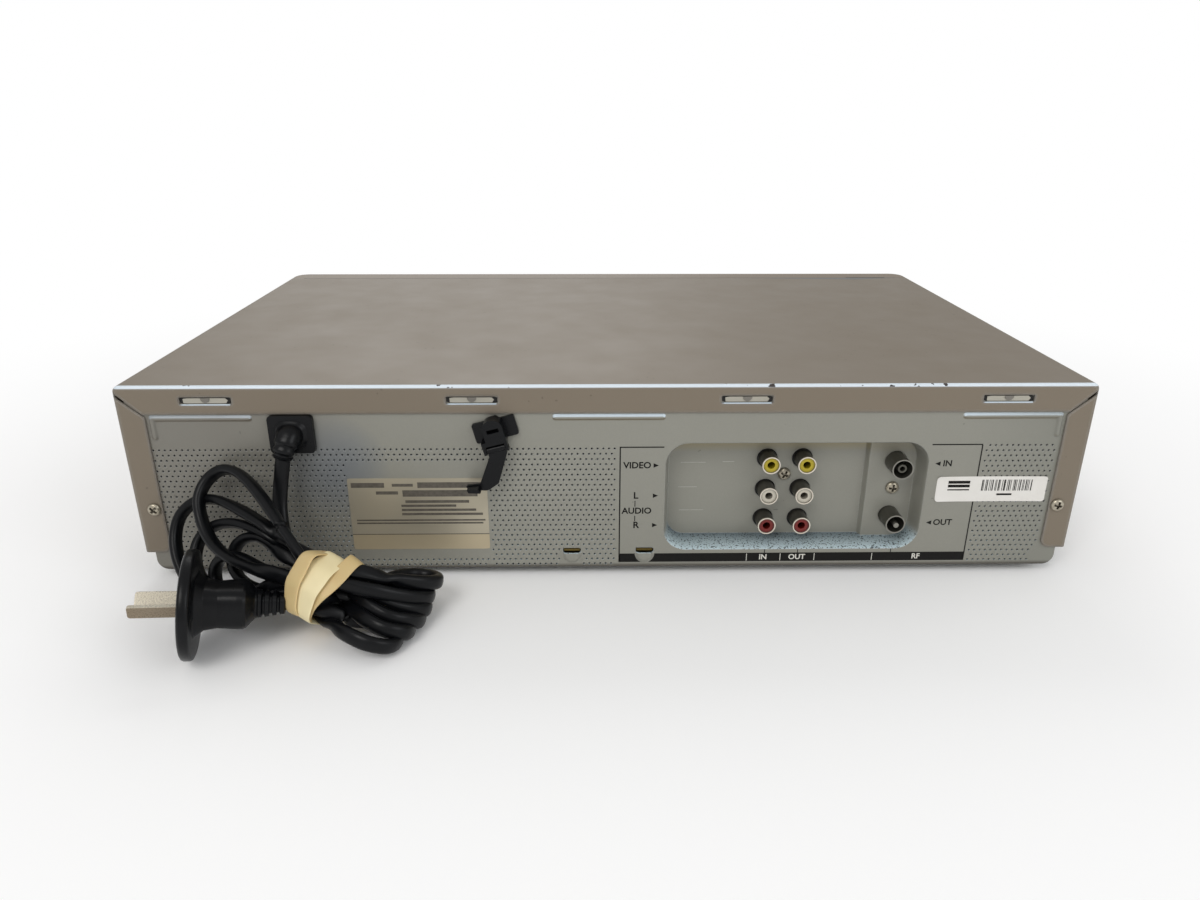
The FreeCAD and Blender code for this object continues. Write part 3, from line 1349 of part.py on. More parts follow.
def curved_slot(sketch, side):
    """A slot along an arc, with round ends, for a loading arm's guide."""
    half, pivot = 3.5, Vector(side * size("arm_pivot_x"), size("arm_pivot_y"), 0)
    first, middle, last = (Vector(*arm_point(side, a), 0) for a in
                           (ARM_REST, ARM_REST + ARM_SWING / 2, ARM_REST + ARM_SWING))

    def shifted(spot, by):
        return spot + (spot - pivot).normalize() * by

    def beyond(spot, way):
        radial = (spot - pivot).normalize()
        return spot + Vector(-radial.y, radial.x, 0) * (half * way)

    sketch.addGeometry(Part.Arc(shifted(first, half), shifted(middle, half), shifted(last, half)), False)
    sketch.addGeometry(Part.Arc(shifted(last, half), beyond(last, side), shifted(last, -half)), False)
    sketch.addGeometry(Part.Arc(shifted(last, -half), shifted(middle, -half), shifted(first, -half)),
                       False)
    sketch.addGeometry(Part.Arc(shifted(first, -half), beyond(first, -side), shifted(first, half)), False)


def carriage_brackets():
    """The two steel side plates of the cassette carriage, which stand on the deck."""
    return group("carriage_brackets", [bracket("left_bracket", "-1"), bracket("right_bracket", "1")])


def bracket(label, side):
    """One side plate, with a foot along the deck's edge and a guide slot."""
    piece = body(label)
    wall = sketch_on(piece, "YZ", f"{side} * {BRACKET_IN}")
    outline(wall, [
        ("tray_front", DECK_TOP), ("bracket_back", DECK_TOP), ("bracket_back", "bracket_top", "4"),
        ("tray_front", "bracket_top", "4"),
    ])
    pad(piece, wall, "bracket_sheet", int(side))
    base = sketch_on(piece, "YZ", f"{side} * ({BRACKET_IN} + bracket_sheet)")
    rectangle(base, "deck_front", "bracket_back", DECK_TOP, f"{DECK_TOP} + bracket_sheet")
    pad(piece, base, f"deck_half - {BRACKET_IN} - bracket_sheet", int(side))
    slot = sketch_on(piece, "YZ", f"{side} * {BRACKET_IN}")
    radius = "(guide_radius + shaft_gap)"
    rectangle(slot, f"tray_back + 3 - {radius} - 1", f"tray_back + 3 + carriage_travel + {radius} + 1",
              f"guide_level - {radius}", f"guide_level + {radius}", "1")
    pocket(piece, slot, "bracket_sheet + 0.1", int(side))
    return piece


def carriage():
    """Cross bar and two legs that push the cassette tray back. Its pins run in the side plates."""
    piece = body("carriage_bar")
    bar = sketch_on(piece, "XY", "guide_level - 2.2")
    rectangle(bar, f"-{TRAY_HALF}", TRAY_HALF, "tray_back + 0.3", "tray_back + 6")
    pad(piece, bar, "4.4", 1)
    legs = sketch_on(piece, "XZ", "tray_back + 0.3")
    for side in ("-1", "1"):
        sides = sorted((f"{side} * {TRAY_HALF}", f"{side} * ({TRAY_HALF} - 20)"), key=size)
        rectangle(legs, *sides, "tray_floor - 12", "guide_level")
    pad(piece, legs, "1.5", 1)
    pins = sketch_on(piece, "YZ", f"-{BRACKET_IN} - bracket_sheet")
    circle(pins, "tray_back + 3", "guide_level", "guide_radius")
    pad(piece, pins, f"2 * ({BRACKET_IN} + bracket_sheet)", 1)
    return piece


def cassette_tray():
    """Folded sheet tray that takes the cassette: a top, two sides and a ledge along each side."""
    piece = body("cassette_tray")
    wrap = sketch_on(piece, "XZ", "tray_front")
    inner = f"({TRAY_HALF} - tray_sheet)"
    outline(wrap, [
        (f"-{TRAY_HALF}", TRAY_TOP, "1"), (f"-{TRAY_HALF}", "tray_floor", "1"),
        (f"-{TRAY_HALF} + tray_ledge", "tray_floor"),
        (f"-{TRAY_HALF} + tray_ledge", "tray_floor + tray_sheet"),
        (f"-{inner}", "tray_floor + tray_sheet"), (f"-{inner}", f"{TRAY_TOP} - tray_sheet"),
        (inner, f"{TRAY_TOP} - tray_sheet"), (inner, "tray_floor + tray_sheet"),
        (f"{TRAY_HALF} - tray_ledge", "tray_floor + tray_sheet"),
        (f"{TRAY_HALF} - tray_ledge", "tray_floor"),
        (TRAY_HALF, "tray_floor", "1"), (TRAY_HALF, TRAY_TOP, "1"),
    ])
    pad(piece, wrap, "tray_back - tray_front", 1)
    window = sketch_on(piece, "XY", TRAY_TOP)
    rectangle(window, "-60", "60", "tray_front + 20", "tray_back - 12", "6")
    pocket(piece, window, "tray_sheet + 0.1", -1)
    return piece


def drum_spin():
    """The turn that tilts the head drum."""
    return Rotation(Vector(0, 1, 0), SIZES["drum_tilt"])


def lower_drum():
    """Fixed lower half of the head drum on its pedestal, bored for the upper half's shaft."""
    bored = turned("drum_half", [
        ("drum_shaft + shaft_gap", "0"), ("drum_radius", "0", "1"), ("drum_radius", "drum_lower"),
        ("drum_shaft + shaft_gap", "drum_lower"),
    ], "0", "drum_y", "drum_lift", drum_spin())
    pedestal = rod("drum_pedestal", "z", ("0", "drum_y", DECK_TOP), "21", f"drum_lift + 4 - {DECK_TOP}")
    core = rod("drum_core", "z", ("0", "drum_y", f"{DECK_TOP} - 1"), "8", "40")
    hollow = cut("drum_pedestal_ring", pedestal, [core])
    return fuse("lower_drum", [bored, hollow])


def head_drum():
    """Spinning upper half of the head drum, with its shaft."""
    low = "(drum_lower + drum_gap)"
    return turned("head_drum", [
        ("0", "2"), ("drum_shaft", "2"), ("drum_shaft", low), ("drum_radius", low),
        ("drum_radius", f"{low} + drum_upper", "1"),
        ("20", f"{low} + drum_upper"), ("18", f"{low} + drum_upper - 3"),
        ("9", f"{low} + drum_upper - 3"),
        ("8", f"{low} + drum_upper + 2", "0.5"), ("0", f"{low} + drum_upper + 2"),
    ], "0", "drum_y", "drum_lift", drum_spin())


def capstan():
    """Capstan shaft with its flywheel below the deck."""
    return turned("capstan", [
        ("0", f"{BOARD_TOP} + 3"), ("flywheel_radius", f"{BOARD_TOP} + 3", "0.6"),
        ("flywheel_radius", f"{BOARD_TOP} + 8.4", "0.6"), ("6", f"{BOARD_TOP} + 8.4"),
        ("5", "deck_level - fit_gap"),
        ("capstan_radius", "deck_level - fit_gap"), ("capstan_radius", "58", "0.5"), ("0", "58"),
    ], "capstan_x", "capstan_y", "0")


def capstan_motor():
    """Flat stator of the capstan motor on the main board, under the flywheel."""
    return turned("capstan_motor", [("0", BOARD_TOP), ("17", BOARD_TOP), ("17", f"{BOARD_TOP} + 2.5"),
                                    ("0", f"{BOARD_TOP} + 2.5")], "capstan_x", "capstan_y", "0")


def pinch_point():
    """Centre of the pinch roller at rest, as expressions."""
    turn = math.radians(SIZES["pinch_rest"])
    along = f"(pinch_pivot_x + pinch_arm * ({math.cos(turn):.5f}))"
    up = f"(pinch_pivot_y + pinch_arm * ({math.sin(turn):.5f}))"
    return along, up


def pinch_arm():
    """Lever on a deck stud that carries the pinch roller's pin."""
    x, y = pinch_point()
    hub = rod("pinch_hub", "z", ("pinch_pivot_x", "pinch_pivot_y", f"{DECK_TOP} + fit_gap"),
              "stud_radius + 1.5", "8")
    link = block("pinch_link", (x, "pinch_pivot_x"), ("pinch_pivot_y - 3", "pinch_pivot_y + 3"),
                 (f"{DECK_TOP} + 3", f"{DECK_TOP} + 5"))
    pad_end = rod("pinch_end", "z", (x, y, f"{DECK_TOP} + 3"), "4", "2")
    pin = rod("pinch_pin", "z", (x, y, f"{DECK_TOP} + 3"), "1.5", "22")
    bore = rod("pinch_bore", "z", ("pinch_pivot_x", "pinch_pivot_y", f"{DECK_TOP} - 1"),
               "stud_radius + shaft_gap", "14")
    return cut("pinch_arm", fuse("pinch_lever", [hub, link, pad_end, pin]), [bore])


def pinch_roller():
    """Rubber pinch roller that turns on the lever's pin."""
    x, y = pinch_point()
    return turned("pinch_roller", [
        ("1.5 + shaft_gap", "0"), ("pinch_radius", "0", "0.6"), ("pinch_radius", "14", "0.6"),
        ("1.5 + shaft_gap", "14"),
    ], x, y, f"{DECK_TOP} + 5 + fit_gap")


def reel(label, side):
    """Reel table with a splined hub that drives one spool of the cassette."""
    piece = body(label)
    low = f"({DECK_TOP} + fit_gap)"
    revolve(piece, [
        ("stud_radius + shaft_gap", low), ("reel_radius", low, "0.5"),
        ("reel_radius", f"{low} + 2.5", "0.5"),
        ("reel_hub", f"{low} + 2.5"), ("reel_hub", f"{low} + 9", "1"), ("7", f"{low} + 10"),
        ("5", f"{low} + 17", "1.5"),
        ("0", f"{low} + 17"), ("0", f"{low} + 12.5"), ("stud_radius + shaft_gap", f"{low} + 12.5"),
    ], "0", "0")
    spline = sketch_on(piece, "XY", f"{low} + 9")
    rectangle(spline, "4", "8.4", "-1", "1")
    round_row(piece, pad(piece, spline, "6", 1), spline, "reel_splines")
    move(piece, f"{side} * reel_place_x", REEL_Y, "0")
    return piece


def loading_arm(label, side):
    """Arm under the deck with a guide that rises through the curved slot."""
    x, y = arm_point(side, ARM_REST)
    px, py = f"{side} * arm_pivot_x", "arm_pivot_y"
    turn = math.degrees(math.atan2(y - size(py), x - size(px)))
    link = doc.addObject("Part::Box", f"{label}_link")
    link.setExpression("Length", bound("arm_length"))
    link.Width = 6
    link.setExpression("Height", bound("arm_sheet"))
    flat = Rotation(Vector(0, 0, 1), turn)
    link.Placement = Placement(Vector(size(px), size(py),
                                      size("arm_level")) + flat.multVec(Vector(0, -3, 0)), flat)
    hub = rod(f"{label}_hub", "z", (px, py, "arm_level"), "4", "arm_sheet")
    end = rod(f"{label}_end", "z", (f"{x:.4f}", f"{y:.4f}", "arm_level"), "3.1",
              f"{DECK_TOP} + fit_gap - arm_level")
    shoe = rod(f"{label}_shoe", "z", (f"{x:.4f}", f"{y:.4f}", f"{DECK_TOP} + fit_gap"), "5.6", "2.5")
    post = rod(f"{label}_post", "z", (f"{x:.4f}", f"{y:.4f}", f"{DECK_TOP} + fit_gap"), "2.2", "26")
    cap = rod(f"{label}_cap", "z", (f"{x:.4f}", f"{y:.4f}", f"{DECK_TOP} + fit_gap + 24"), "3.2", "1.5")
    bore = rod(f"{label}_bore", "z", (px, py, "arm_level - 1"), "stud_radius + shaft_gap",
               "arm_sheet + 2")
    return cut(label, fuse(f"{label}_solid", [link, hub, end, shoe, post, cap]), [bore])


def cam_gear():
    """Loading cam gear on a stud under the deck."""
    piece = body("cam_gear")
    wheel = sketch_on(piece, "XY", "deck_level - 3.4")
    circle(wheel, "0", "0", "cam_radius - 1.1")
    circle(wheel, "0", "0", "stud_radius + shaft_gap")
    pad(piece, wheel, "2.8", 1)
    profile = sketch_on(piece, "XY", "deck_level - 3.4")
    outline(profile, [
        ("cam_radius - 2", "-0.9"), ("cam_radius - 1.1", "-0.9"), ("cam_radius + 1", "-0.4"),
        ("cam_radius + 1", "0.4"), ("cam_radius - 1.1", "0.9"), ("cam_radius - 2", "0.9"),
    ])
    round_row(piece, pad(piece, profile, "2.8", 1), profile, "cam_teeth")
    move(piece, "cam_x", "cam_y", "0")
    return piece


def loading_motor():
    """Small upright motor of the loading gear, on the deck."""
    return turned("loading_motor", [
        ("0", DECK_TOP), ("9", DECK_TOP), ("9", f"{DECK_TOP} + 22", "1.5"), ("3", f"{DECK_TOP} + 22"),
        ("3", f"{DECK_TOP} + 25"), ("0", f"{DECK_TOP} + 25"),
    ], "-84", "84", "0")


def tape_heads():
    """The erase head and the audio head, fixed beside the drum."""
    return group("tape_heads", [tape_head("erase_head", "-70", "26", 20),
                                tape_head("audio_head", "70", "60", 22)])


def tape_head(label, x, y, high):
    """One fixed tape head on a small base screwed to the deck."""
    base = block(f"{label}_base", (f"{x} - 5", f"{x} + 5"), (f"{y} - 4", f"{y} + 6"),
                 (DECK_TOP, f"{DECK_TOP} + 4"))
    head = block(f"{label}_head", (f"{x} - 3.5", f"{x} + 3.5"), (f"{y} - 3.5", f"{y} + 3.5"),
                 (DECK_TOP, f"{DECK_TOP} + {high}"))
    return fuse(label, [base, head])


def make_everything():
    """Build every node and give them back in the order of assembly."""
    made = [bottom_chassis(), feet(), rear_panel(), top_cover(), front_panel(), cassette_door(),
            display_window()]
    made += [front_flap()] + [button(*line) for line in BUTTONS]
    made += [front_board(), front_switches(), display_tube(), front_jack_block(), rear_screws()]
    made += [jack_block(), jack_shells()]
    for label, row in (("video_jack_inserts", "jack_row_video"), ("left_jack_inserts", "jack_row_left"),
                       ("right_jack_inserts", "jack_row_right")):
        made.append(jack_inserts(label, row))
    made += [aerial_can(), aerial_socket(), aerial_plug(), clip_base(), clip_strap()]
    made += [cord_gland(), mains_cord(), cord_coil(), rubber_band(), mains_plug(), plug_blades()]
    made += [main_board(), board_parts(), power_transformer(), power_heat_sink()]
    made += [deck_plate(), carriage_brackets(), carriage(), cassette_tray(), lower_drum(), head_drum()]
    made += [capstan(), capstan_motor(), pinch_arm(), pinch_roller()]
    made += [reel("supply_reel", "-1"), reel("take_up_reel", "1")]
    made += [loading_arm("supply_loading_arm", -1), loading_arm("take_up_loading_arm", 1)]
    made += [cam_gear(), loading_motor(), tape_heads()]
    return made


nodes = make_everything()
doc.recompute()
faults = [f"{thing.Label}: {thing.State}" for thing in doc.Objects
          if {"Invalid", "Error"} & set(thing.State)]
for node in nodes:
    if node.Shape.isNull() or not node.Shape.isValid() or not node.Shape.Solids:
        faults.append(f"{node.Label}: no valid shape")
if faults:
    raise ValueError("; ".join(faults))
for node in nodes:
    node.Shape.exportStep(f"parts/{node.Label}.step")
print(f"{len(nodes)} nodes, {sum(len(node.Shape.Solids) for node in nodes)} solids")
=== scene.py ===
import bpy
import mathutils
import numpy as np
from mathutils import Matrix


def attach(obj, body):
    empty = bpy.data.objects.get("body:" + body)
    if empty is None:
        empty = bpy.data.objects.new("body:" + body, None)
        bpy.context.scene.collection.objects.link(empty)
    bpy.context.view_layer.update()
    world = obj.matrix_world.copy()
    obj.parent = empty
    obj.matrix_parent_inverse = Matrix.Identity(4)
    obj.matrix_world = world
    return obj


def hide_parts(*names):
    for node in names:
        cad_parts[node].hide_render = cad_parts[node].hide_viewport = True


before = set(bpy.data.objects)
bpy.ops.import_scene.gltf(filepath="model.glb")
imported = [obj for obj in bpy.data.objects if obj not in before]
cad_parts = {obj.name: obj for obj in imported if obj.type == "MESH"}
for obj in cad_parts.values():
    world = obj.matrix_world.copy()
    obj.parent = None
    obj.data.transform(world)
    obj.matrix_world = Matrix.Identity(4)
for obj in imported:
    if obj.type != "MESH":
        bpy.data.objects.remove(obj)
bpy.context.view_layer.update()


# Camera, floor and lamps
# A hand-held view of the back, a little above it and left of its middle. The floor is pale paper that keeps the
# recorder's shadow, and the lamps are two soft boxes and an even sky.
scene = bpy.context.scene
scene.view_settings.view_transform = "Standard"

lens = bpy.data.cameras.new("camera")
lens.sensor_fit = "HORIZONTAL"
lens.sensor_width = 36
lens.lens = 26.13
lens.clip_start, lens.clip_end = 0.01, 20
camera = bpy.data.objects.new("camera", lens)
scene.collection.objects.link(camera)
camera.matrix_world = Matrix((
    (-0.99988, -0.00419, 0.01518, 0.0102),
    (0.01565, -0.37244, 0.92792, 0.4874),
    (0.00177, 0.92805, 0.37246, 0.2084),
    (0, 0, 0, 1),
))
scene.camera = camera


def skin(name, points, faces, material, smooth=True):
    """Makes one mesh object at the origin from an array of corner places and a list or array of corner numbers."""
    mesh = bpy.data.meshes.new(name)
    mesh.from_pydata(np.asarray(points, float).tolist(), [], np.asarray(faces).tolist()
                     if isinstance(faces, np.ndarray) else faces)
    mesh.update()
    mesh.shade_smooth() if smooth else mesh.shade_flat()
    mesh.materials.append(material)
    made = bpy.data.objects.new(name, mesh)
    scene.collection.objects.link(made)
    return made


def grid_faces(rows, columns, round_rows=False, round_columns=False):
    """Corner numbers of the squares between neighbours of a grid that is rows by columns and may close on itself."""
    r = np.arange(rows if round_rows else rows - 1)[:, None]
    c = np.arange(columns if round_columns else columns - 1)[None]
    right, down = (c + 1) % columns, (r + 1) % rows
    return np.stack([r * columns + c, r * columns + right, down * columns + right, down * columns + c],
                    -1).reshape(-1, 4)


def tone(red, green, blue):
    """A colour on the 0 to 255 scale that a picture shows, as the light that a shader works with."""
    share = np.array([red, green, blue], float) / 255
    return tuple(np.where(share < 0.04045, share / 12.92, ((share + 0.055) / 1.055) ** 2.4))


class Shade:
    """A material's own nodes, with short ways to add one, to link two and to feed the Principled shader."""

    def __init__(self, tree):
        self.tree, self.base = tree, tree.nodes.get("Principled BSDF")

    def put(self, value, socket):
        """Links a socket to this one, or gives it a number, or a colour on the scale that tone takes."""
        if isinstance(value, bpy.types.NodeSocket):
            self.tree.links.new(value, socket)
        else:
            socket.default_value = (*tone(*value), 1) if socket.type == "RGBA" else value

    def add(self, kind, **values):
        """One node. A value goes on the input of its name, or else is a property."""
        node = self.tree.nodes.new("ShaderNode" + kind)
        for key, value in values.items():
            name = key.replace("_", " ").lower()
            socket = next((s for s in node.inputs if s.name.lower() == name and s.enabled), None)
            if socket is None:
                setattr(node, key, value)
            else:
                self.put(value, socket)
        return node

    def at(self, axis=None):
        """The Object coordinates, or one of the three."""
        spot = self.add("TexCoord").outputs["Object"]
        return self.add("SeparateXYZ", Vector=spot).outputs[axis] if axis else spot

    def up(self):
        """How far a face looks up: one for level, nought for upright."""
        return self.add("SeparateXYZ", Vector=self.add("NewGeometry").outputs["Normal"]).outputs["Z"]

    def noise(self, scale, detail=2.0):
        return self.add("TexNoise", Vector=self.at(), Scale=scale, Detail=detail).outputs[0]

    def maths(self, what, first, second, clamp=False):
        """One sum on two numbers or sockets."""
        node = self.tree.nodes.new("ShaderNodeMath")
        node.operation, node.use_clamp = what, clamp
        self.put(first, node.inputs[0])
        self.put(second, node.inputs[1])
        return node.outputs[0]

    def times(self, first, second, clamp=False):
        return self.maths("MULTIPLY", first, second, clamp)

    def plus(self, first, second):
        return self.maths("ADD", first, second)

    def minus(self, first, second, clamp=False):
        return self.maths("SUBTRACT", first, second, clamp)

    def ramp(self, value, start, end, **how):
        """Nought before start, one after end."""
        return self.add("MapRange", Value=value, From_Min=start, From_Max=end, **how).outputs[0]

    def mix(self, share, first, second):
        """One colour mixed from two by a share."""
        node = self.add("Mix", data_type="RGBA")
        for number, value in ((0, share), (6, first), (7, second)):
            self.put(value, node.inputs[number])
        return node.outputs[2]

    def finish(self, colour, rough, height=None, strength=0.2, distance=0.00005, normal=None, **plain):
        """Feeds the Principled shader, with a bump where there is a height. Plain values go on its own sockets."""
        self.put(colour, self.base.inputs["Base Color"])
        self.put(rough, self.base.inputs["Roughness"])
        if height:
            bump = self.add("Bump", Height=height, Strength=strength, Distance=distance)
            if normal:
                self.put(normal, bump.inputs["Normal"])
            self.put(bump.outputs[0], self.base.inputs["Normal"])
        for key, value in plain.items():
            self.base.inputs[key.replace("_", " ")].default_value = value

    def cover(self, share, colour):
        """Mixes a colour over the one that the shader has."""
        old = self.base.inputs["Base Color"].links[0].from_socket
        self.put(self.mix(share, old, colour), self.base.inputs["Base Color"])


def finish_named(name):
    """A new empty material and the means to fill it."""
    made = bpy.data.materials.new(name)
    made.use_nodes = True
    return made, Shade(made.node_tree)


paper, shade = finish_named("floor_paper")
shade.finish(shade.mix(shade.noise(3.0), (250, 250, 250), (254, 254, 254)), 0.9)
away = shade.add("VectorMath", operation="LENGTH", Vector=shade.at()).outputs["Value"]
fade = shade.ramp(away, 0.20, 0.62, interpolation_type="SMOOTHSTEP")
blend = shade.add("MixShader")
for socket, value in zip(blend.inputs, (fade, shade.base.outputs[0], shade.add("Emission").outputs[0])):
    shade.put(value, socket)
surface = next(node for node in paper.node_tree.nodes if node.type == "OUTPUT_MATERIAL").inputs["Surface"]
shade.put(blend.outputs[0], surface)
step = np.linspace(-2.5, 2.5, 5)
across, back = np.meshgrid(step, step)
floor = skin("floor", np.stack([across, back, 0 * across - 0.0001], -1).reshape(-1, 3), grid_faces(5, 5), paper)

world = bpy.data.worlds.new("sky")
scene.world = world
world.use_nodes = True
sky = Shade(world.node_tree)
seen = sky.add("LightPath")
direct = sky.maths("MAXIMUM", seen.outputs["Is Camera Ray"], seen.outputs["Is Transmission Ray"])
backdrop = world.node_tree.nodes["Background"]
backdrop.inputs["Color"].default_value = (1, 1, 1, 1)
sky.put(sky.plus(sky.times(direct, 0.4), 0.6), backdrop.inputs["Strength"])


def unit(way):
    """A direction, or each one of an array of them, made one long."""
    return way / np.linalg.norm(way, axis=-1, keepdims=True)


def lamp(name, place, aim, size, power, colour):
    """A square soft box at a place, turned to an aim point."""
    light = bpy.data.lights.new(name, "AREA")
    light.shape, light.size, light.energy, light.color = "SQUARE", size, power, colour
    made = bpy.data.objects.new(name, light)
    scene.collection.objects.link(made)
    away = unit(np.subtract(place, aim))
    side = unit(np.cross((0, 0, 1), away))
    rows = np.stack([side, np.cross(away, side), away, place], 1)
    made.matrix_world = Matrix([*rows.tolist(), [0, 0, 0, 1]])


lamp("key_box", (0.7, 1.5, 1.5), (0, 0.1, 0.05), 0.9, 13, (1, 0.985, 0.96))
lamp("fill_box", (-1.3, 1.1, 0.9), (0, 0.1, 0.05), 1.0, 7, (0.95, 0.975, 1))
lamp("front_box", (0.3, -1.6, 1.3), (0, 0, 0.05), 1.2, 9, (1, 1, 1))


# Mains cord
# A flat two-core vinyl cord, 6.4 by 4.3 mm, that hangs from its gland and lies in eleven loops, pinched at the waist
# by a rubber band. Its spline starts with the route of the part's own tube.
CORD_WIDE, CORD_THIN = 0.0032, 0.00215
LEAST_BEND, POINT_GAP, HELD_LENGTH = 0.0095, 0.003, 0.055
CORD_ROUTE = [(0.1416, 0.1350, 0.0671), (0.1444, 0.1354, 0.0539), (0.1456, 0.1395, 0.0411),
              (0.1424, 0.1466, 0.0307), (0.1359, 0.1551, 0.0242), (0.1271, 0.1645, 0.0225)]
WAIST = np.array([0.1184, 0.1726, 0.0220])
WAIST_WAY = np.array([0.800, -0.460, 0.230]) / 0.951
PLUG_PLACE = np.array([0.1334, 0.1783, 0.0177])
PLUG_WAY = np.array([0.960, 0.245, 0.135]) / 0.9999
# Each loop: its tip, half its width, and the side that its first strand swells to.
FLOOR_LOOPS = [((74.5, 150, 12), 12, (0, 0.95, 0.25)), ((77, 156, 8), 13, (0.1, 0.95, 0.25)),
               ((81, 164, 5), 13, (0.15, 0.95, 0.25)), ((81, 173, 4.5), 13, (0.25, 0.9, 0.3)),
               ((83, 181, 4), 12, (0.35, 0.85, 0.35)), ((87, 189, 4.2), 11, (0.5, 0.8, 0.3))]
PANEL_LOOPS = [((179, 135.5, 49), 16, (0.19, 0.5, -0.83)), ((192, 142, 30), 19, (-0.1, 0.5, -0.86)),
               ((182, 147, 25), 15, (0, 0.55, -0.83)), ((166, 148, 25), 11, (0, 0.5, -0.85)),
               ((174, 152, 17), 10, (0, 0.5, -0.85))]
# The angle of each strand's place round the waist, in degrees, and its distance from the middle in mm.
WAIST_PLACES = [(100, 9), (20, 9), (60, 9), (340, 9), (140, 9), (90, 3), (180, 9), (270, 3), (220, 9), (260, 9),
                (300, 9), (320, 9)]


def waist_place(number):
    """A strand's place in the waist: the middle, plus a turn by its angle in the plane that the band lies in."""
    angle, reach = WAIST_PLACES[number]
    ahead = np.array([0.46, 0.80, 0.0])
    ahead -= WAIST_WAY * (ahead @ WAIST_WAY)
    ahead /= np.linalg.norm(ahead)
    above = np.cross(WAIST_WAY, ahead)
    turn = np.radians(angle)
    return WAIST + reach / 1000 * (np.cos(turn) * ahead + np.sin(turn) * above)


def loop_line(start, end, tip, half_width, side):
    """One loop out of the waist and back: reach grows as half of one minus a cosine, and the swell to each side goes as
    the sine of the full turn times the square of the sine of the half turn."""
    share = np.linspace(0, 1, 40, endpoint=False)[:, None]
    side = np.array(side, float) / np.linalg.norm(side)
    reach = (1 - np.cos(2 * np.pi * share)) / 2
    swell = np.sin(2 * np.pi * share) * np.sin(np.pi * share) ** 2 / 0.65
    outward = np.array(tip, float) / 1000 - (start + end) / 2
    return start * (1 - share) + end * share + reach * outward + half_width / 1000 * swell * side


def evenly(line, gap):
    """The same line with its points one gap apart along it."""
    along = np.r_[0, np.cumsum(np.linalg.norm(np.diff(line, axis=0), axis=1))]
    places = np.linspace(0, along[-1], int(round(along[-1] / gap)) + 1)
    return np.stack([np.interp(places, along, line[:, k]) for k in range(3)], 1)


def settle(line, gap, held, rounds=360, straighten=0.35, homing=0.02, part=1.6, widen=0.3, restore=0.25):
    """Lets the cord find its lay: each round straightens it a little, pulls it to where it was drawn, parts strands to
    one thickness, keeps them off the floor, the panel, the plug and the band, and restores its length. Two points on
    one bend stay at least the chord apart that an arc of the least radius has: twice the radius times the sine of half
    the arc's angle. The last five values are the share of each correction that is made at once."""
    line = evenly(line, gap)
    drawn, count = line.copy(), len(line)
    first, second = np.triu_indices(count, 6)
    apart, held_points = 2.3 * CORD_THIN, int(held / gap)
    for turn in range(rounds):
        before = line.copy()
        bend = np.zeros_like(line)
        bend[1:-1] = (line[:-2] + line[2:]) / 2 - line[1:-1]
        relax = np.zeros_like(line)
        relax[1:-1] = bend[1:-1] - (bend[:-2] + bend[2:]) / 2
        line = line + straighten * relax + homing * (drawn - line)
        if turn % 20 == 0:
            near = np.linalg.norm(line[first] - line[second], axis=1) < 6 * apart
            one, other = first[near], second[near]
        for _ in range(2):
            way = line[one] - line[other]
            gap_now = np.linalg.norm(way, axis=1)
            touch = gap_now < apart
            a, b, way, gap_now = one[touch], other[touch], way[touch], np.maximum(gap_now[touch], 1e-5)
            push = way * ((apart - gap_now) / gap_now)[:, None] * 0.25
            moved, times = np.zeros_like(line), np.zeros(count)
            np.add.at(moved, a, push)
            np.add.at(moved, b, -push)
            np.add.at(times, a, 1)
            np.add.at(times, b, 1)
            line = keep_clear(line + part * moved / np.maximum(times, 1)[:, None])
        for _ in range(6):
            for reach in (2, 4, 6, 8):
                least = 2 * LEAST_BEND * np.sin(reach * gap / 2 / LEAST_BEND)
                way = line[reach:] - line[:-reach]
                chord = np.linalg.norm(way, axis=1)
                push = way * (np.clip(least - chord, 0, None) / np.maximum(chord, 1e-4))[:, None] * widen
                line[reach:] += push
                line[:-reach] -= push
            for start in (0, 1):
                way = line[start + 1::2] - line[start:-1:2]
                pull = way * (1 - gap / np.linalg.norm(way, axis=1))[:, None] * restore
                line[start:start + 2 * len(pull):2] += pull
                line[start + 1:start + 1 + 2 * len(pull):2] -= pull
        line[:held_points] = before[:held_points]
        line[-3:] = before[-3:]
    return line


def from_axis(line, middle, way):
    """Each point's place along an axis, its offset from the axis, and how far that is."""
    away = line - middle
    along = away @ way
    out = away - along[:, None] * way
    return along, out, np.maximum(np.linalg.norm(out, axis=1), 1e-4)


def keep_clear(line, floor=0.0031, wall=0.1295):
    """Moves points out of the plug, which widens from its relief to its rim, into the band's ring, and off the floor
    and the rear panel."""
    along, out, far = from_axis(line, PLUG_PLACE, PLUG_WAY)
    limit = np.select([along > 0.043, along > 0.033, along > 0.013, along > 0.001], [0, 0.0245, 0.014, 0.008], 0)
    inside = far < limit
    line[inside] += out[inside] * ((limit - far) / far)[inside][:, None] * 0.5
    along, out, far = from_axis(line, WAIST, WAIST_WAY)
    limit = 0.0108 + np.maximum(0, np.abs(along) - 0.006) * 0.9
    outside = (np.abs(along) < 0.014) & (far > limit)
    line[outside] -= out[outside] * ((far - limit) / far)[outside][:, None] * 0.7
    line[:, 2] = np.maximum(line[:, 2], floor)
    line[:, 1] = np.maximum(line[:, 1], wall)
    return line


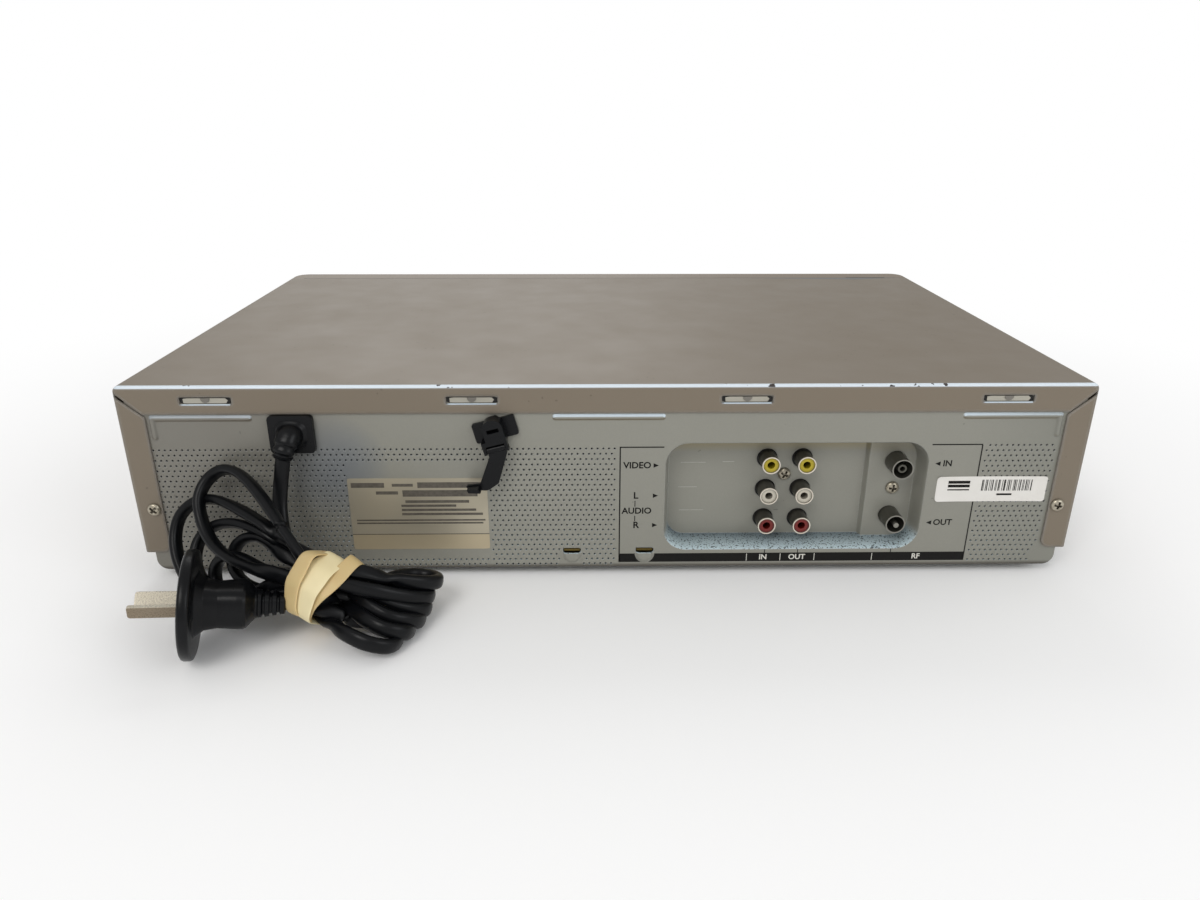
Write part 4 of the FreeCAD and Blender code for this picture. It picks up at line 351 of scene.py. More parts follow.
strands = [np.array(CORD_ROUTE)]
for number, (tip, half_width, side) in enumerate(FLOOR_LOOPS):
    leaving, coming = waist_place(2 * number), waist_place(2 * number + 1)
    strands.append(loop_line(leaving, coming, tip, half_width, side))
    if number < len(PANEL_LOOPS):
        tip, half_width, side = PANEL_LOOPS[number]
        strands.append(loop_line(coming, waist_place(2 * number + 2), tip, half_width, side))
strands.append(np.array([waist_place(11), PLUG_PLACE]))
laid = settle(np.vstack(strands), POINT_GAP, HELD_LENGTH)
past_route = 26  # the first laid point that the route doesn't cover
turns = np.vstack([CORD_ROUTE, laid[past_route:-3:3], [PLUG_PLACE]])

cord_line = bpy.data.curves.new("cord_line", "CURVE")
cord_line.dimensions = "3D"
spline = cord_line.splines.new("NURBS")
spline.points.add(len(turns) - 1)
spline.points.foreach_set("co", np.c_[turns, np.ones(len(turns))].ravel())
spline.order_u = 3
spline.use_endpoint_u = True
spline.resolution_u = 6
guide = bpy.data.objects.new("cord_guide", cord_line)
scene.collection.objects.link(guide)
bpy.context.view_layer.update()
traced = bpy.data.meshes.new_from_object(guide)
centre = np.zeros(len(traced.vertices) * 3)
traced.vertices.foreach_get("co", centre)
centre = centre.reshape(-1, 3)
bpy.data.objects.remove(guide)


def flat_sides(line, drop=24, blur=16):
    """Where a flat cord's wide side points: across the bend, because it bends over its thin side. The cross of
    neighbouring runs gives that, kept to one sign and smoothed along the cord, then squared to the line. The first
    points are the drop from the gland, where it points along X."""
    way = unit(np.gradient(line, axis=0))
    across = np.cross(way, np.gradient(way, axis=0))
    for k in range(1, len(across)):
        if across[k] @ across[k - 1] < 0:
            across[k] *= -1
    across[:drop] = (np.linalg.norm(across, axis=1).mean() * 3, 0, 0)
    if across[drop + 6:drop + 36].sum(0)[0] < 0:
        across[drop:] *= -1
    kernel = np.hanning(2 * blur + 1)
    kernel /= kernel.sum()
    across = np.stack([np.convolve(np.pad(across[:, k], blur, "edge"), kernel, "valid") for k in range(3)], 1)
    across -= way * (across * way).sum(1)[:, None]
    across /= np.maximum(np.linalg.norm(across, axis=1), 1e-9)[:, None]
    return across, np.cross(way, across)


def oval_tube(line, across, above, wide, thin, sides=20, power=2.5):
    """A closed oval carried along a line: each ring is a super-ellipse of cosine and sine to the power two over the
    given power, and one flat face closes each end."""
    turn = np.linspace(0, 2 * np.pi, sides, endpoint=False)
    u = np.sign(np.cos(turn)) * np.abs(np.cos(turn)) ** (2 / power)
    v = np.sign(np.sin(turn)) * np.abs(np.sin(turn)) ** (2 / power)
    wide, thin = np.broadcast_to(wide, len(line)), np.broadcast_to(thin, len(line))
    rings = (line[:, None] + across[:, None] * (wide[:, None] * u)[..., None]
             + above[:, None] * (thin[:, None] * v)[..., None])
    faces = grid_faces(len(line), sides, round_columns=True).tolist()
    faces += [list(range(sides))[::-1], [(len(line) - 1) * sides + k for k in range(sides)]]
    return rings.reshape(-1, 3), faces


across, above = flat_sides(centre)
vinyl, shade = finish_named("cord_vinyl")
blotch = shade.noise(180.0, 3.0)
shade.finish(shade.mix(blotch, (7, 8, 9), (14, 15, 18)), shade.plus(shade.times(blotch, 0.2), 0.22),
             shade.noise(900.0, 4.0), 0.25, 0.00012, Specular_IOR_Level=0.2)
points, faces = oval_tube(centre, across, above, CORD_WIDE, CORD_THIN)
cord = skin("mains_cord_run", points, faces, vinyl)
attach(cord, "recorder")
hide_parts("mains_cord", "cord_coil")


# Rear panel
# One pressed sheet of coated steel, 1 mm thick: a two-level jack recess with soft drawn edges, stiffening ribs, two
# lanced louvres, and about 1700 punched vent holes, each 0.95 mm. It stands in the folded cover's frame.
REAR, SHEET, PANEL = 0.126, 0.001, (-0.2109, 0.2109, 0.0041, 0.0932)
RECESS, RECESS_CORNER, RECESS_DEEP = (-0.144, -0.026, 0.0135, 0.0658), 0.010, 0.012
LEVEL_EDGE, LEVEL_UP, LEVEL_SOFT = -0.120, 0.003, 0.0008
RIB_HIGH, LOUVRE_HIGH, LOUVRE_X = 0.0009, 0.0012, (0.0173, -0.0167)
LOUVRE_Z, LOUVRE_CUT = 0.0112, 0.01165
HOLE_GAP, ROW_GAP, HOLE_RADIUS = 0.00256, 0.00253, 0.00049
PANEL_CORNER, RIM_STEP = 0.005, 0.0012
RIBS = [((0.2002, 0.079), (0.158, 0.079)), ((0.2002, 0.079), (0.2002, 0.070)), ((0.024, 0.079), (-0.0235, 0.079)),
        ((-0.2002, 0.079), (-0.158, 0.079)), ((-0.2002, 0.079), (-0.2002, 0.070))]


def soft_step(value, start, end):
    """Nought before start, one after end, and three squares less two cubes of the share between them."""
    share = np.clip((value - start) / (end - start), 0, 1)
    return share * share * (3 - 2 * share)


def box_distance(x, z, left, right, low, high, corner):
    """Distance to a rounded rectangle's edge, below nought inside: the distance to its inner rectangle less the corner
    radius."""
    across = np.abs(x - (left + right) / 2) - (right - left) / 2 + corner
    up = np.abs(z - (low + high) / 2) - (high - low) / 2 + corner
    return np.hypot(np.maximum(across, 0), np.maximum(up, 0)) + np.minimum(np.maximum(across, up), 0) - corner


def bar_distance(x, z, start, end):
    """Distance to a straight bar: to the point on it whose share of its length, held to nought to one, is nearest."""
    start, end = np.array(start), np.array(end)
    way = end - start
    share = np.clip(((x - start[0]) * way[0] + (z - start[1]) * way[1]) / (way @ way), 0, 1)
    return np.hypot(x - start[0] - share * way[0], z - start[1] - share * way[1])


def pressed(x, z):
    """How far the sheet stands out of its plane: minus the recess, whose wall is a soft step of the distance to its
    rounded outline, plus the ribs and louvres, which are round-topped humps over bars."""
    inside = box_distance(x, z, *RECESS, RECESS_CORNER)
    depth = RECESS_DEEP - LEVEL_UP * soft_step(-x, -LEVEL_EDGE - LEVEL_SOFT, -LEVEL_EDGE + LEVEL_SOFT)
    height = -depth * soft_step(-inside, -0.0007, 0.0019)
    away = np.min([bar_distance(x, z, start, end) for start, end in RIBS], axis=0)
    height = height + RIB_HIGH * soft_step(-away, -0.0016, -0.0004)
    for place in LOUVRE_X:
        away = np.hypot((x - place), np.maximum(LOUVRE_Z - z, 0) * 0.9)
        height = height + LOUVRE_HIGH * soft_step(-away, -0.0047, -0.0028) * (z < LOUVRE_CUT)
    return height


def loop_of(left, right, low, high, corner, gap):
    """Points about gap apart round a rectangle whose corners are quarter turns: the outline is drawn first, then
    sampled evenly along its length. It runs from +X towards +Z."""
    turn = np.linspace(0, np.pi / 2, 13)
    drawn = []
    for number, (x, z) in enumerate(((right, high), (left, high), (left, low), (right, low))):
        middle = np.array([x - corner * np.sign(x - (left + right) / 2), z - corner * np.sign(z - (low + high) / 2)])
        way = turn + number * np.pi / 2
        drawn.append(middle + corner * np.stack([np.cos(way), np.sin(way)], -1))
    drawn = np.concatenate(drawn + [drawn[0][:1]])
    along = np.r_[0, np.cumsum(np.hypot(*np.diff(drawn, axis=0).T))]
    places = np.linspace(0, along[-1], max(int(along[-1] / gap), 12), endpoint=False)
    return np.stack([np.interp(places, along, drawn[:, 0]), np.interp(places, along, drawn[:, 1])], -1)


def vent_places():
    """Centres of the vent holes: 24 rows, every other row half a hole gap along, in four blocks that leave room for the
    label, the recess, the louvres and the lower corners."""
    made = []
    blocks = [(0.2025, 0.1195, range(24), 0.064), (0.1185, 0.0555, (0, 1, 2, 22, 23), 0.064),
              (0.0540, -0.0030, range(24), 0.064), (-0.1695, -0.2015, range(24), 0.0649)]
    for left, right, rows_used, top in blocks:
        for row in rows_used:
            x = 0.2025 - HOLE_GAP / 2 * (row % 2) - HOLE_GAP * np.arange(170)
            x = x[(x < left + 0.0002) & (x > right - 0.0002)]
            made.append(np.stack([x, np.full_like(x, top - ROW_GAP * row)], -1))
    places = np.concatenate(made)
    for place in LOUVRE_X:
        beside = (np.abs(places[:, 0] - place) < 0.0052) & (places[:, 1] < 0.0150)
        places = places[~beside]
    corner = (np.abs(places[:, 0]) > 0.1985) & (places[:, 1] < 0.012)
    return places[~corner]


def rims(places, radius, sides):
    """Round holes' rims at many places at once: every corner is a place plus a turned radius."""
    places = np.asarray(places, float).reshape(-1, 1, 2)
    radius = np.broadcast_to(radius, len(places)).reshape(-1, 1, 1)
    turn = np.linspace(0, 2 * np.pi, sides, endpoint=False) + np.pi / sides
    return list(places + radius * np.stack([np.cos(turn), np.sin(turn)], -1))


def sheet_mesh(name, holes, rings, loose, material):
    """The pressed sheet as one closed mesh: a Delaunay triangulation of its outline, holes and contour rings in the
    XZ plane, lifted to the pressed height on the front, less the sheet on the back, and walled round every rim."""
    closed = [loop_of(*PANEL, PANEL_CORNER, RIM_STEP)] + holes + rings
    points = np.concatenate(closed + [loose])
    owner = np.concatenate([np.full(len(one), number) for number, one in enumerate(closed)]
                           + [np.full(len(loose), -1)])
    edges, start = [], 0
    for one in closed:
        k = np.arange(len(one))
        edges.append(np.stack([k, (k + 1) % len(one)], -1) + start)
        start += len(one)
    made = mathutils.geometry.delaunay_2d_cdt([mathutils.Vector(p) for p in points.tolist()],
                                              np.concatenate(edges).tolist(), [], 0, 1e-7)
    flat = np.array([tuple(p) for p in made[0]])
    came_from = np.array([ids[0] if ids else -1 for ids in made[3]])
    triangles = np.array(made[2])
    piece_of = np.where(came_from >= 0, owner[came_from], -1)[triangles]
    in_hole = (piece_of[:, :1] == piece_of).all(1) & (piece_of[:, 0] > 0) & (piece_of[:, 0] <= len(holes))
    triangles = triangles[~in_hole]
    now_at = np.full(len(points), -1)
    for new, ids in enumerate(made[3]):
        now_at[ids] = new
    out = pressed(flat[:, 0], flat[:, 1])
    front = np.stack([flat[:, 0], REAR + out, flat[:, 1]], -1)
    walls = now_at[np.concatenate(edges[:1 + len(holes)])]
    first, second = walls.T
    wall = np.stack([first, second, second + len(front), first + len(front)], -1)
    outer = len(closed[0])
    wall = np.concatenate([wall[:outer], wall[outer:, ::-1]])
    faces = triangles[:, ::-1].tolist() + (triangles + len(front)).tolist() + wall.tolist()
    return skin(name, np.concatenate([front, front - (0, SHEET, 0)]), faces, material)


def group_of(name, inputs, outputs):
    """An empty shader node group with named sockets: its tree, the means to fill it and its two ends."""
    tree = bpy.data.node_groups.new(name, "ShaderNodeTree")
    for label, value in inputs.items():
        kind = "NodeSocketColor" if isinstance(value, tuple) else "NodeSocketFloat"
        socket = tree.interface.new_socket(label, in_out="INPUT", socket_type=kind)
        socket.default_value = (*tone(*value), 1) if isinstance(value, tuple) else value
    for label, kind in outputs.items():
        tree.interface.new_socket(label, in_out="OUTPUT", socket_type="NodeSocket" + kind)
    return tree, Shade(tree), tree.nodes.new("NodeGroupInput").outputs, tree.nodes.new("NodeGroupOutput").inputs


# The sheet finish: a broad cloud, a fine mottle, and small dark specks where noise peaks.
SHEET_FINISH, shade, given, result = group_of(
    "sheet_finish", {"Colour": (140, 140, 132), "Cloud": 0.05, "Mottle": 0.04, "Specks": 0.5},
    {"Colour": "Color", "Shine": "Float", "Height": "Float"})
fine, patch = shade.noise(1600.0), shade.noise(38.0)
level = shade.times(shade.minus(shade.noise(9.0, 3.0), 0.5), given["Cloud"])
grain = shade.times(shade.minus(fine, 0.5), given["Mottle"])
value = shade.plus(shade.plus(level, grain), 1.0)
lit = shade.add("HueSaturation", Color=given["Colour"], Value=value).outputs[0]
peak = shade.times(shade.maths("GREATER_THAN", shade.noise(420.0, 1.0), 0.745),
                   shade.maths("GREATER_THAN", patch, 0.56))
shade.put(shade.mix(shade.times(peak, given["Specks"]), lit, (45, 42, 38)), result["Colour"])
shade.put(shade.times(shade.minus(patch, 0.5), 0.22), result["Shine"])
shade.put(fine, result["Height"])

# Dust and painted light from above: more where a face looks up, broken up by noise.
UPWARD_DUST_AND_SHEEN, shade, given, result = group_of("upward_dust_and_sheen", {"Amount": 0.5, "Size": 300.0}, {"Mask": "Float"})
level = shade.times(shade.maths("MAXIMUM", shade.up(), 0.0), given["Amount"])
shade.put(shade.times(level, shade.plus(shade.noise(given["Size"], 3.0), 0.25), clamp=True), result["Mask"])

# Rounded edges, worn and lit by a painted highlight: the angle between a face and its neighbours' rounded mean,
# from the Bevel node.
EDGE_WEAR_AND_HIGHLIGHT, shade, given, result = group_of(
    "edge_wear_and_highlight", {"Reach": 0.0008, "Start": 0.04}, {"Mask": "Float", "Normal": "Vector"})
rounded = shade.add("Bevel", samples=4, Radius=given["Reach"]).outputs[0]
turned = shade.add("VectorMath", operation="DOT_PRODUCT")
shade.put(rounded, turned.inputs[0])
shade.put(shade.add("NewGeometry").outputs["True Normal"], turned.inputs[1])
bent = shade.minus(1.0, turned.outputs["Value"])
worn = shade.times(shade.minus(bent, given["Start"]), 9.0, clamp=True)
shade.put(shade.times(worn, shade.plus(shade.noise(260.0, 4.0), 0.35), clamp=True), result["Mask"])
shade.put(rounded, result["Normal"])


def use(shade, tree, **values):
    """Places a node group in a material with its own values, and gives its outputs."""
    node = shade.add("Group", node_tree=tree)
    for label, value in values.items():
        shade.put(value, node.inputs[label])
    return node.outputs


panel_steel, shade = finish_named("panel_steel")
coat = use(shade, SHEET_FINISH, Colour=(137, 136, 127), Cloud=0.16, Mottle=0.10, Specks=0.35)
dust_and_sheen = use(shade, UPWARD_DUST_AND_SHEEN, Amount=0.75, Size=700.0)
worn_lit_edge = use(shade, EDGE_WEAR_AND_HIGHLIGHT, Reach=0.0006, Start=0.03)
across_x, depth_y, height_z, upward = shade.at("X"), shade.at("Y"), shade.at("Z"), shade.up()
# Lower wall of the recess: a painted bluish highlight that fades inwards into painted shade, under dark grit.
painted_wall_light = shade.mix(shade.ramp(depth_y, 0.1145, 0.1245), (104, 116, 121), (196, 214, 220))
wall_light_and_grit = shade.mix(shade.ramp(shade.noise(1250.0), 0.56, 0.62), painted_wall_light, (58, 66, 70))
wall = shade.times(shade.ramp(upward, 0.15, 0.55), shade.ramp(height_z, 0.026, 0.020))
# Dusty, with painted bluish light from above where faces look up, then the lower wall's painted light and grit.
look = shade.mix(wall, shade.mix(dust_and_sheen["Mask"], coat["Colour"], (186, 200, 208)), wall_light_and_grit)
# Ribs: a painted highlight where they look up and painted brownish shade below. A warm painted shadow of the recess's
# upper edge lies on the top of the recess floor, and a painted cool reflection behind the cord. Both ends of the panel
# have painted shade from the frame, the one behind the cord more so. A painted shadow darkens the low edge. Worn edges
# are lighter, partly by a painted highlight.
rib_part = shade.ramp(height_z, 0.0690, 0.0700)
off = [shade.times(shade.minus(shade.at(axis), middle), 1 / 0.026) for axis, middle in (("X", 0.124), ("Z", 0.055))]
squares = shade.plus(*[shade.times(one, one) for one in off])
for share, amount, colour in (
        (shade.times(shade.ramp(upward, 0.03, 0.35), rib_part), 0.85, (204, 218, 228)),
        (shade.times(shade.ramp(upward, -0.03, -0.35), rib_part), 0.7, (108, 96, 72)),
        (shade.times(shade.ramp(depth_y, 0.1180, 0.1160), shade.ramp(height_z, 0.0575, 0.0610)), 0.55, (150, 138, 100)),
        (shade.minus(1.0, squares, clamp=True), 0.55, (92, 104, 120)),
        (shade.ramp(across_x, 0.10, 0.17), 0.55, (104, 99, 92)),
        (shade.ramp(across_x, -0.16, -0.20), 0.4, (112, 113, 105)),
        (shade.ramp(height_z, 0.0062, 0.0046), 0.8, (52, 44, 36)),
        (worn_lit_edge["Mask"], 0.35, (190, 194, 194))):
    look = shade.mix(shade.times(share, amount), look, colour)
shade.finish(look, shade.plus(coat["Shine"], 0.42), coat["Height"], 0.12, 0.00008, worn_lit_edge["Normal"], Metallic=0.15)

# Round openings: for the gland, a tooling hole, the four screws, the two aerial connectors and the six jacks.
openings = [(0.1408, 0.0735, 0.0060), (0.0505, 0.0779, 0.0021), (0.2068, 0.0355, 0.0019), (-0.2068, 0.0355, 0.0019),
            (-0.1328, 0.0403, 0.0019), (-0.0822, 0.0463, 0.0019), (-0.1330, 0.0537, 0.0050), (-0.1326, 0.0261, 0.0047)]
openings += [(x + 0.0003, z + 0.0002, 0.0048) for x in (-0.074, -0.0904) for z in (0.054, 0.0386, 0.0233)]
holes = rims(vent_places(), HOLE_RADIUS, 8)
for x, z, radius in openings:
    holes += rims([(x, z)], radius, 28)
holes += [loop_of(x - 0.00415, x + 0.00415, 0.0116, 0.0140, 0.0, RIM_STEP) for x in LOUVRE_X]
# Contour rings and loose points where the sheet bends: the recess wall, the ribs, the level edge and the louvres.
outwards = np.array([-1, 1, -1, 1])
rings = [loop_of(*(np.array(RECESS) + grow * outwards), RECESS_CORNER + grow, RIM_STEP)
         for grow in np.linspace(0.0007, -0.0019, 9)]
for start, end in RIBS:
    box = np.stack([np.minimum(start, end), np.maximum(start, end)], -1).ravel()
    rings += [loop_of(*(box + grow * outwards), grow, 0.0009) for grow in (0.0016, 0.0013, 0.0010, 0.0007, 0.0004)]
level_x, level_z = np.meshgrid(LEVEL_EDGE + np.linspace(-LEVEL_SOFT, LEVEL_SOFT, 7), np.linspace(0.0156, 0.0637, 49))
loose = [np.stack([level_x.ravel(), level_z.ravel()], -1)]
for place in LOUVRE_X:
    reach, turn = np.meshgrid([0.0047, 0.0042, 0.0037, 0.0033, 0.0028, 0.0016], np.linspace(np.pi, 2 * np.pi, 17))
    loose.append(np.stack([place + (reach * np.cos(turn)).ravel(),
                           LOUVRE_Z + (reach * np.sin(turn)).ravel() / 0.9], -1))
    loose.append(np.stack([place + np.linspace(-0.0047, 0.0047, 15), np.full(15, 0.01155)], -1))

panel = sheet_mesh("pressed_panel", holes, rings, np.concatenate(loose), panel_steel)
panel.data.set_sharp_from_angle(angle=0.6)
even = panel.modifiers.new("even_shading", "WEIGHTED_NORMAL")
even.keep_sharp = True
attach(panel, "recorder")
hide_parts("rear_panel")


# Printed legend
# Black ink screened on the panel: a frame of thin rules, a solid strip along the bottom with pale words, and plain
# connector words with small arrows. Faint scuffs lie on the recess floor. The ink stands 0.03 mm proud.
INK_FACE = REAR + 0.00003
CAPITAL = 1.38  # a letter's size over the height of its capitals


def words(text, x, z, size, face, align="LEFT"):
    """A word's flat faces, laid on the panel so that it reads from behind: its own x runs to minus X and its y up."""
    letter = bpy.data.curves.new(f"word_{text}", "FONT")
    letter.body, letter.size, letter.align_x, letter.align_y = text, size * CAPITAL, align, "CENTER"
    letter.resolution_u, letter.offset = 3, size * 0.035
    holder = bpy.data.objects.new("word", letter)
    scene.collection.objects.link(holder)
    bpy.context.view_layer.update()
    flat = bpy.data.meshes.new_from_object(holder)
    corners = np.zeros(len(flat.vertices) * 3)
    flat.vertices.foreach_get("co", corners)
    corners = corners.reshape(-1, 3)
    faces = [list(face.vertices) for face in flat.polygons]
    bpy.data.objects.remove(holder)
    bpy.data.meshes.remove(flat)
    return np.stack([x - corners[:, 0], np.full(len(corners), face), z + corners[:, 1]], -1), faces


def patch_of(left, right, low, high, face):
    """A flat printed rectangle."""
    return (np.array([(right, face, low), (right, face, high), (left, face, high), (left, face, low)]),
            [[3, 2, 1, 0]])


def arrow(x, z, way):
    """A small solid arrow head that points to the recess."""
    return (np.array([(x, INK_FACE, z + 0.0011), (x, INK_FACE, z - 0.0011), (x + 0.0024 * way, INK_FACE, z)]),
            [[0, 1, 2] if way > 0 else [2, 1, 0]])


def ink_of(name, scale, dark, light, rough=0.5, gloss=0.5):
    """An ink of two near tones that a noise mixes."""
    made, shade = finish_named(name)
    shade.finish(shade.mix(shade.noise(scale), dark, light), rough, Specular_IOR_Level=gloss)
    return made


def together(parts):
    """Several meshes' corners and faces as one."""
    points, faces, start = [], [], 0
    for part_points, part_faces in parts:
        points.append(part_points)
        faces += [[start + k for k in one] for one in part_faces]
        start += len(part_points)
    return np.concatenate(points), faces


def printed(name, marks, ink):
    """Flat marks as one piece that rides on the recorder."""
    made = skin(name, *together(marks), ink, smooth=False)
    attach(made, "recorder")


rule = 0.00058
marks = [patch_of(*edges, INK_FACE) for edges in (
    (-0.0046, -0.1677, 0.0064, 0.0109), (-0.0045, -0.0045 - rule, 0.0064, 0.0643),
    (-0.0045, -0.0245, 0.0643, 0.0643 + rule), (-0.1675, -0.1675 - rule, 0.0064, 0.0650),
    (-0.1450, -0.1679, 0.0650, 0.0650 + rule), *[(x, x - 0.0004, 0.0109, 0.0128) for x in (-0.0730, -0.0886, -0.1326)],
    (-0.0116, -0.0120, 0.0352, 0.0382), (-0.0116, -0.0120, 0.0278, 0.0306))]
marks += [words(text, x, z, size, INK_FACE) for text, x, z, size in (
    ("VIDEO", -0.0063, 0.0557, 0.0031), ("L", -0.0110, 0.0407, 0.0033), ("AUDIO", -0.0058, 0.0330, 0.0031),
    ("R", -0.0110, 0.0257, 0.0033), ("IN", -0.1511, 0.0560, 0.0030), ("OUT", -0.1508, 0.0263, 0.0030))]
marks += [arrow(-0.0199, z, -1) for z in (0.0557, 0.0407, 0.0257)] + [arrow(-0.1500, z, 1) for z in (0.0560, 0.0263)]
ink = ink_of("legend_ink", 900.0, (9, 8, 7), (20, 18, 16), 0.6, 0.2)
printed("panel_legend", marks, ink)
SCUFF_FACE, PALE_FACE = REAR - RECESS_DEEP + 0.00003, REAR + 0.00006
scuffs = [patch_of(a, b, z, z + 0.00016, SCUFF_FACE) for a, b, z in (
    (-0.0335, -0.0452, 0.0521), (-0.0530, -0.0585, 0.0524), (-0.0328, -0.0415, 0.0396), (-0.0335, -0.0450, 0.0276))]
printed("recess_scuffs", scuffs, ink_of("scuff_lines", 500.0, (150, 149, 140), (208, 207, 200)))
pale = [words(text, x, 0.0086, 0.0027, PALE_FACE, "CENTER")
        for text, x in (("IN", -0.0726), ("OUT", -0.0886), ("RF", -0.1450))]
pale += [patch_of(x, x - 0.0003, 0.0068, 0.0105, PALE_FACE) for x in (-0.0647, -0.0806, -0.0967, -0.1240)]
printed("strip_legend", pale, ink_of("legend_white", 900.0, (190, 188, 180), (220, 218, 210)))


# Rating label and shelf sticker
# A thin brushed foil label and a white paper sticker, stuck flat on the panel. Both carry plain printed bars, grey on
# the foil and black on the paper, and the sticker's corners lift a little.
def stuck(name, left, right, low, high, thick, corner, lift, material):
    """A thin stuck-on sheet: a grid with rounded corners, raised at its corners by the fourth power of the share of the
    way from the middle, and closed by a back and a rim."""
    u, v = np.meshgrid(np.linspace(-1, 1, 41), np.linspace(-1, 1, 25))
    half_wide, half_high = abs(right - left) / 2, (high - low) / 2
    x, z = u * half_wide, v * half_high
    past_x, past_z = np.maximum(np.abs(x) - half_wide + corner, 0), np.maximum(np.abs(z) - half_high + corner, 0)
    past = np.hypot(past_x, past_z)
    scale = np.where((past_x > 0) & (past_z > 0) & (past > corner), corner / np.maximum(past, 1e-9), 1)
    x = np.sign(x) * (np.abs(x) - past_x + past_x * scale)
    z = np.sign(z) * (np.abs(z) - past_z + past_z * scale)
    y = REAR + thick + lift * (u * v) ** 4
    front = np.stack([x + (left + right) / 2, y, z + (low + high) / 2], -1).reshape(-1, 3)
    behind = front - (0, thick * 0.9, 0)
    rows, columns = u.shape
    face = grid_faces(rows, columns)
    edge = np.concatenate([np.arange(columns), np.arange(1, rows) * columns + columns - 1,
                           (rows - 1) * columns + np.arange(columns - 2, -1, -1),
                           np.arange(rows - 2, 0, -1) * columns])
    rim = np.stack([edge, np.roll(edge, -1), np.roll(edge, -1) + len(front), edge + len(front)], -1)
    made = skin(name, np.concatenate([front, behind]), np.concatenate([face[:, ::-1], face + len(front), rim]),
                material)
    made.data.set_sharp_from_angle(angle=0.7)
    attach(made, "recorder")


foil, shade = finish_named("label_foil")
stretched = shade.add("Mapping", Vector=shade.at(), Scale=(8.0, 8.0, 900.0)).outputs[0]
brushed = shade.add("TexNoise", Vector=stretched, Scale=1.0, Detail=4.0).outputs[0]
foil_tone = shade.mix(shade.noise(22.0), (150, 142, 124), (196, 188, 168))
lower = shade.maths("LESS_THAN", shade.at("Z"), 0.0218)
shade.finish(shade.mix(shade.times(lower, 0.5), foil_tone, (196, 178, 142)),
             shade.plus(shade.times(brushed, 0.2), 0.3), brushed, 0.1, Metallic=0.55)
stuck("rating_label", 0.1185, 0.0555, 0.0140, 0.0500, 0.00012, 0.0006, 0.0, foil)

sticker_paper, shade = finish_named("sticker_paper")
shade.finish(shade.mix(shade.noise(60.0), (226, 224, 220), (208, 204, 196)), 0.6, shade.noise(1400.0, 3.0))
stuck("shelf_sticker", -0.1497, -0.2005, 0.0371, 0.0496, 0.00015, 0.0015, 0.0004, sticker_paper)

bars = [(0.1170, 0.1020, 0.0466, 0.0012), (0.0985, 0.0890, 0.0466, 0.0007), (0.0870, 0.0580, 0.0466, 0.0014),
        (0.1060, 0.0960, 0.0428, 0.0008), (0.0940, 0.0600, 0.0425, 0.0016), (0.0930, 0.0640, 0.0384, 0.0007),
        (0.0950, 0.0700, 0.0363, 0.0006), (0.0950, 0.0610, 0.0342, 0.0006), (0.0950, 0.0580, 0.0321, 0.0006),
        (0.1160, 0.0570, 0.0290, 0.0004), (0.1160, 0.0580, 0.0275, 0.0004), (0.1185, 0.0555, 0.0218, 0.0002)]
printed("label_bars", [patch_of(a, b, z - half, z + half, REAR + 0.00016) for a, b, z, half in bars],
        ink_of("label_ink", 700.0, (58, 54, 48), (104, 98, 88)))

BAR_STEPS = [0, 5, 8, 4, 9, 6, 5, 10, 4, 7, 5, 9, 6, 4, 8, 5, 7, 10, 4, 6, 8, 5, 9, 4, 7, 6, 5, 8]
code = [patch_of(-0.1705 - at, -0.1705 - at - 0.00028 - 0.0002 * (k % 3 == 0), 0.0425, 0.0480, REAR + 0.0002)
        for k, at in enumerate(np.cumsum(BAR_STEPS) * 0.00013)]
code += [patch_of(left, right, z - half, z + half, REAR + 0.0002) for left, right, z, half in (
    (-0.1550, -0.1650, 0.0468, 0.0007), (-0.1550, -0.1650, 0.0449, 0.0007), (-0.1550, -0.1650, 0.0430, 0.0003),
    (-0.1780, -0.1850, 0.04065, 0.00045))]
printed("sticker_bars", code, ink)


# Folded cover
# Painted steel sheet folded over the top, the sides and a flange at the back, with mitred corners. The paint is a
# warm grey with a fine texture, dusty and with painted light from above where it looks up, worn edges with a painted
# highlight, a painted highlight along its rear folded edge, and chips at a few places on that edge.
def dress(material, *nodes):
    """Gives CAD nodes a finish and leaves their meshes alone."""
    for node in nodes:
        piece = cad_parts[node]
        for slot in piece.material_slots:
            slot.material = material


cover_paint, shade = finish_named("cover_paint")
coat = use(shade, SHEET_FINISH, Colour=(122, 112, 98), Cloud=0.05, Mottle=0.05, Specks=0.3)
worn_lit_edge = use(shade, EDGE_WEAR_AND_HIGHLIGHT, Reach=0.0022, Start=0.035)
dust_and_sheen = use(shade, UPWARD_DUST_AND_SHEEN, Amount=0.04, Size=60.0)
# A painted highlight along the top rear folded edge, a reflection of the light; dark chips break it in places.
fold_highlight = shade.times(shade.ramp(shade.at("Y"), 0.12535, 0.1257), shade.ramp(shade.at("Z"), 0.0926, 0.0930))
nicked = shade.times(fold_highlight, shade.maths("GREATER_THAN", shade.noise(210.0, 3.0), 0.66))
look = shade.mix(dust_and_sheen["Mask"], coat["Colour"], (150, 146, 138))
look = shade.mix(shade.times(worn_lit_edge["Mask"], 0.4), look, (190, 194, 196))
look = shade.mix(nicked, shade.mix(fold_highlight, look, (222, 232, 240)), (66, 60, 58))
shade.finish(look, shade.plus(coat["Shine"], 0.46), coat["Height"], 0.3, 0.0001, worn_lit_edge["Normal"],
             Specular_IOR_Level=0.3, Metallic=0.1)
dress(cover_paint, "top_cover")


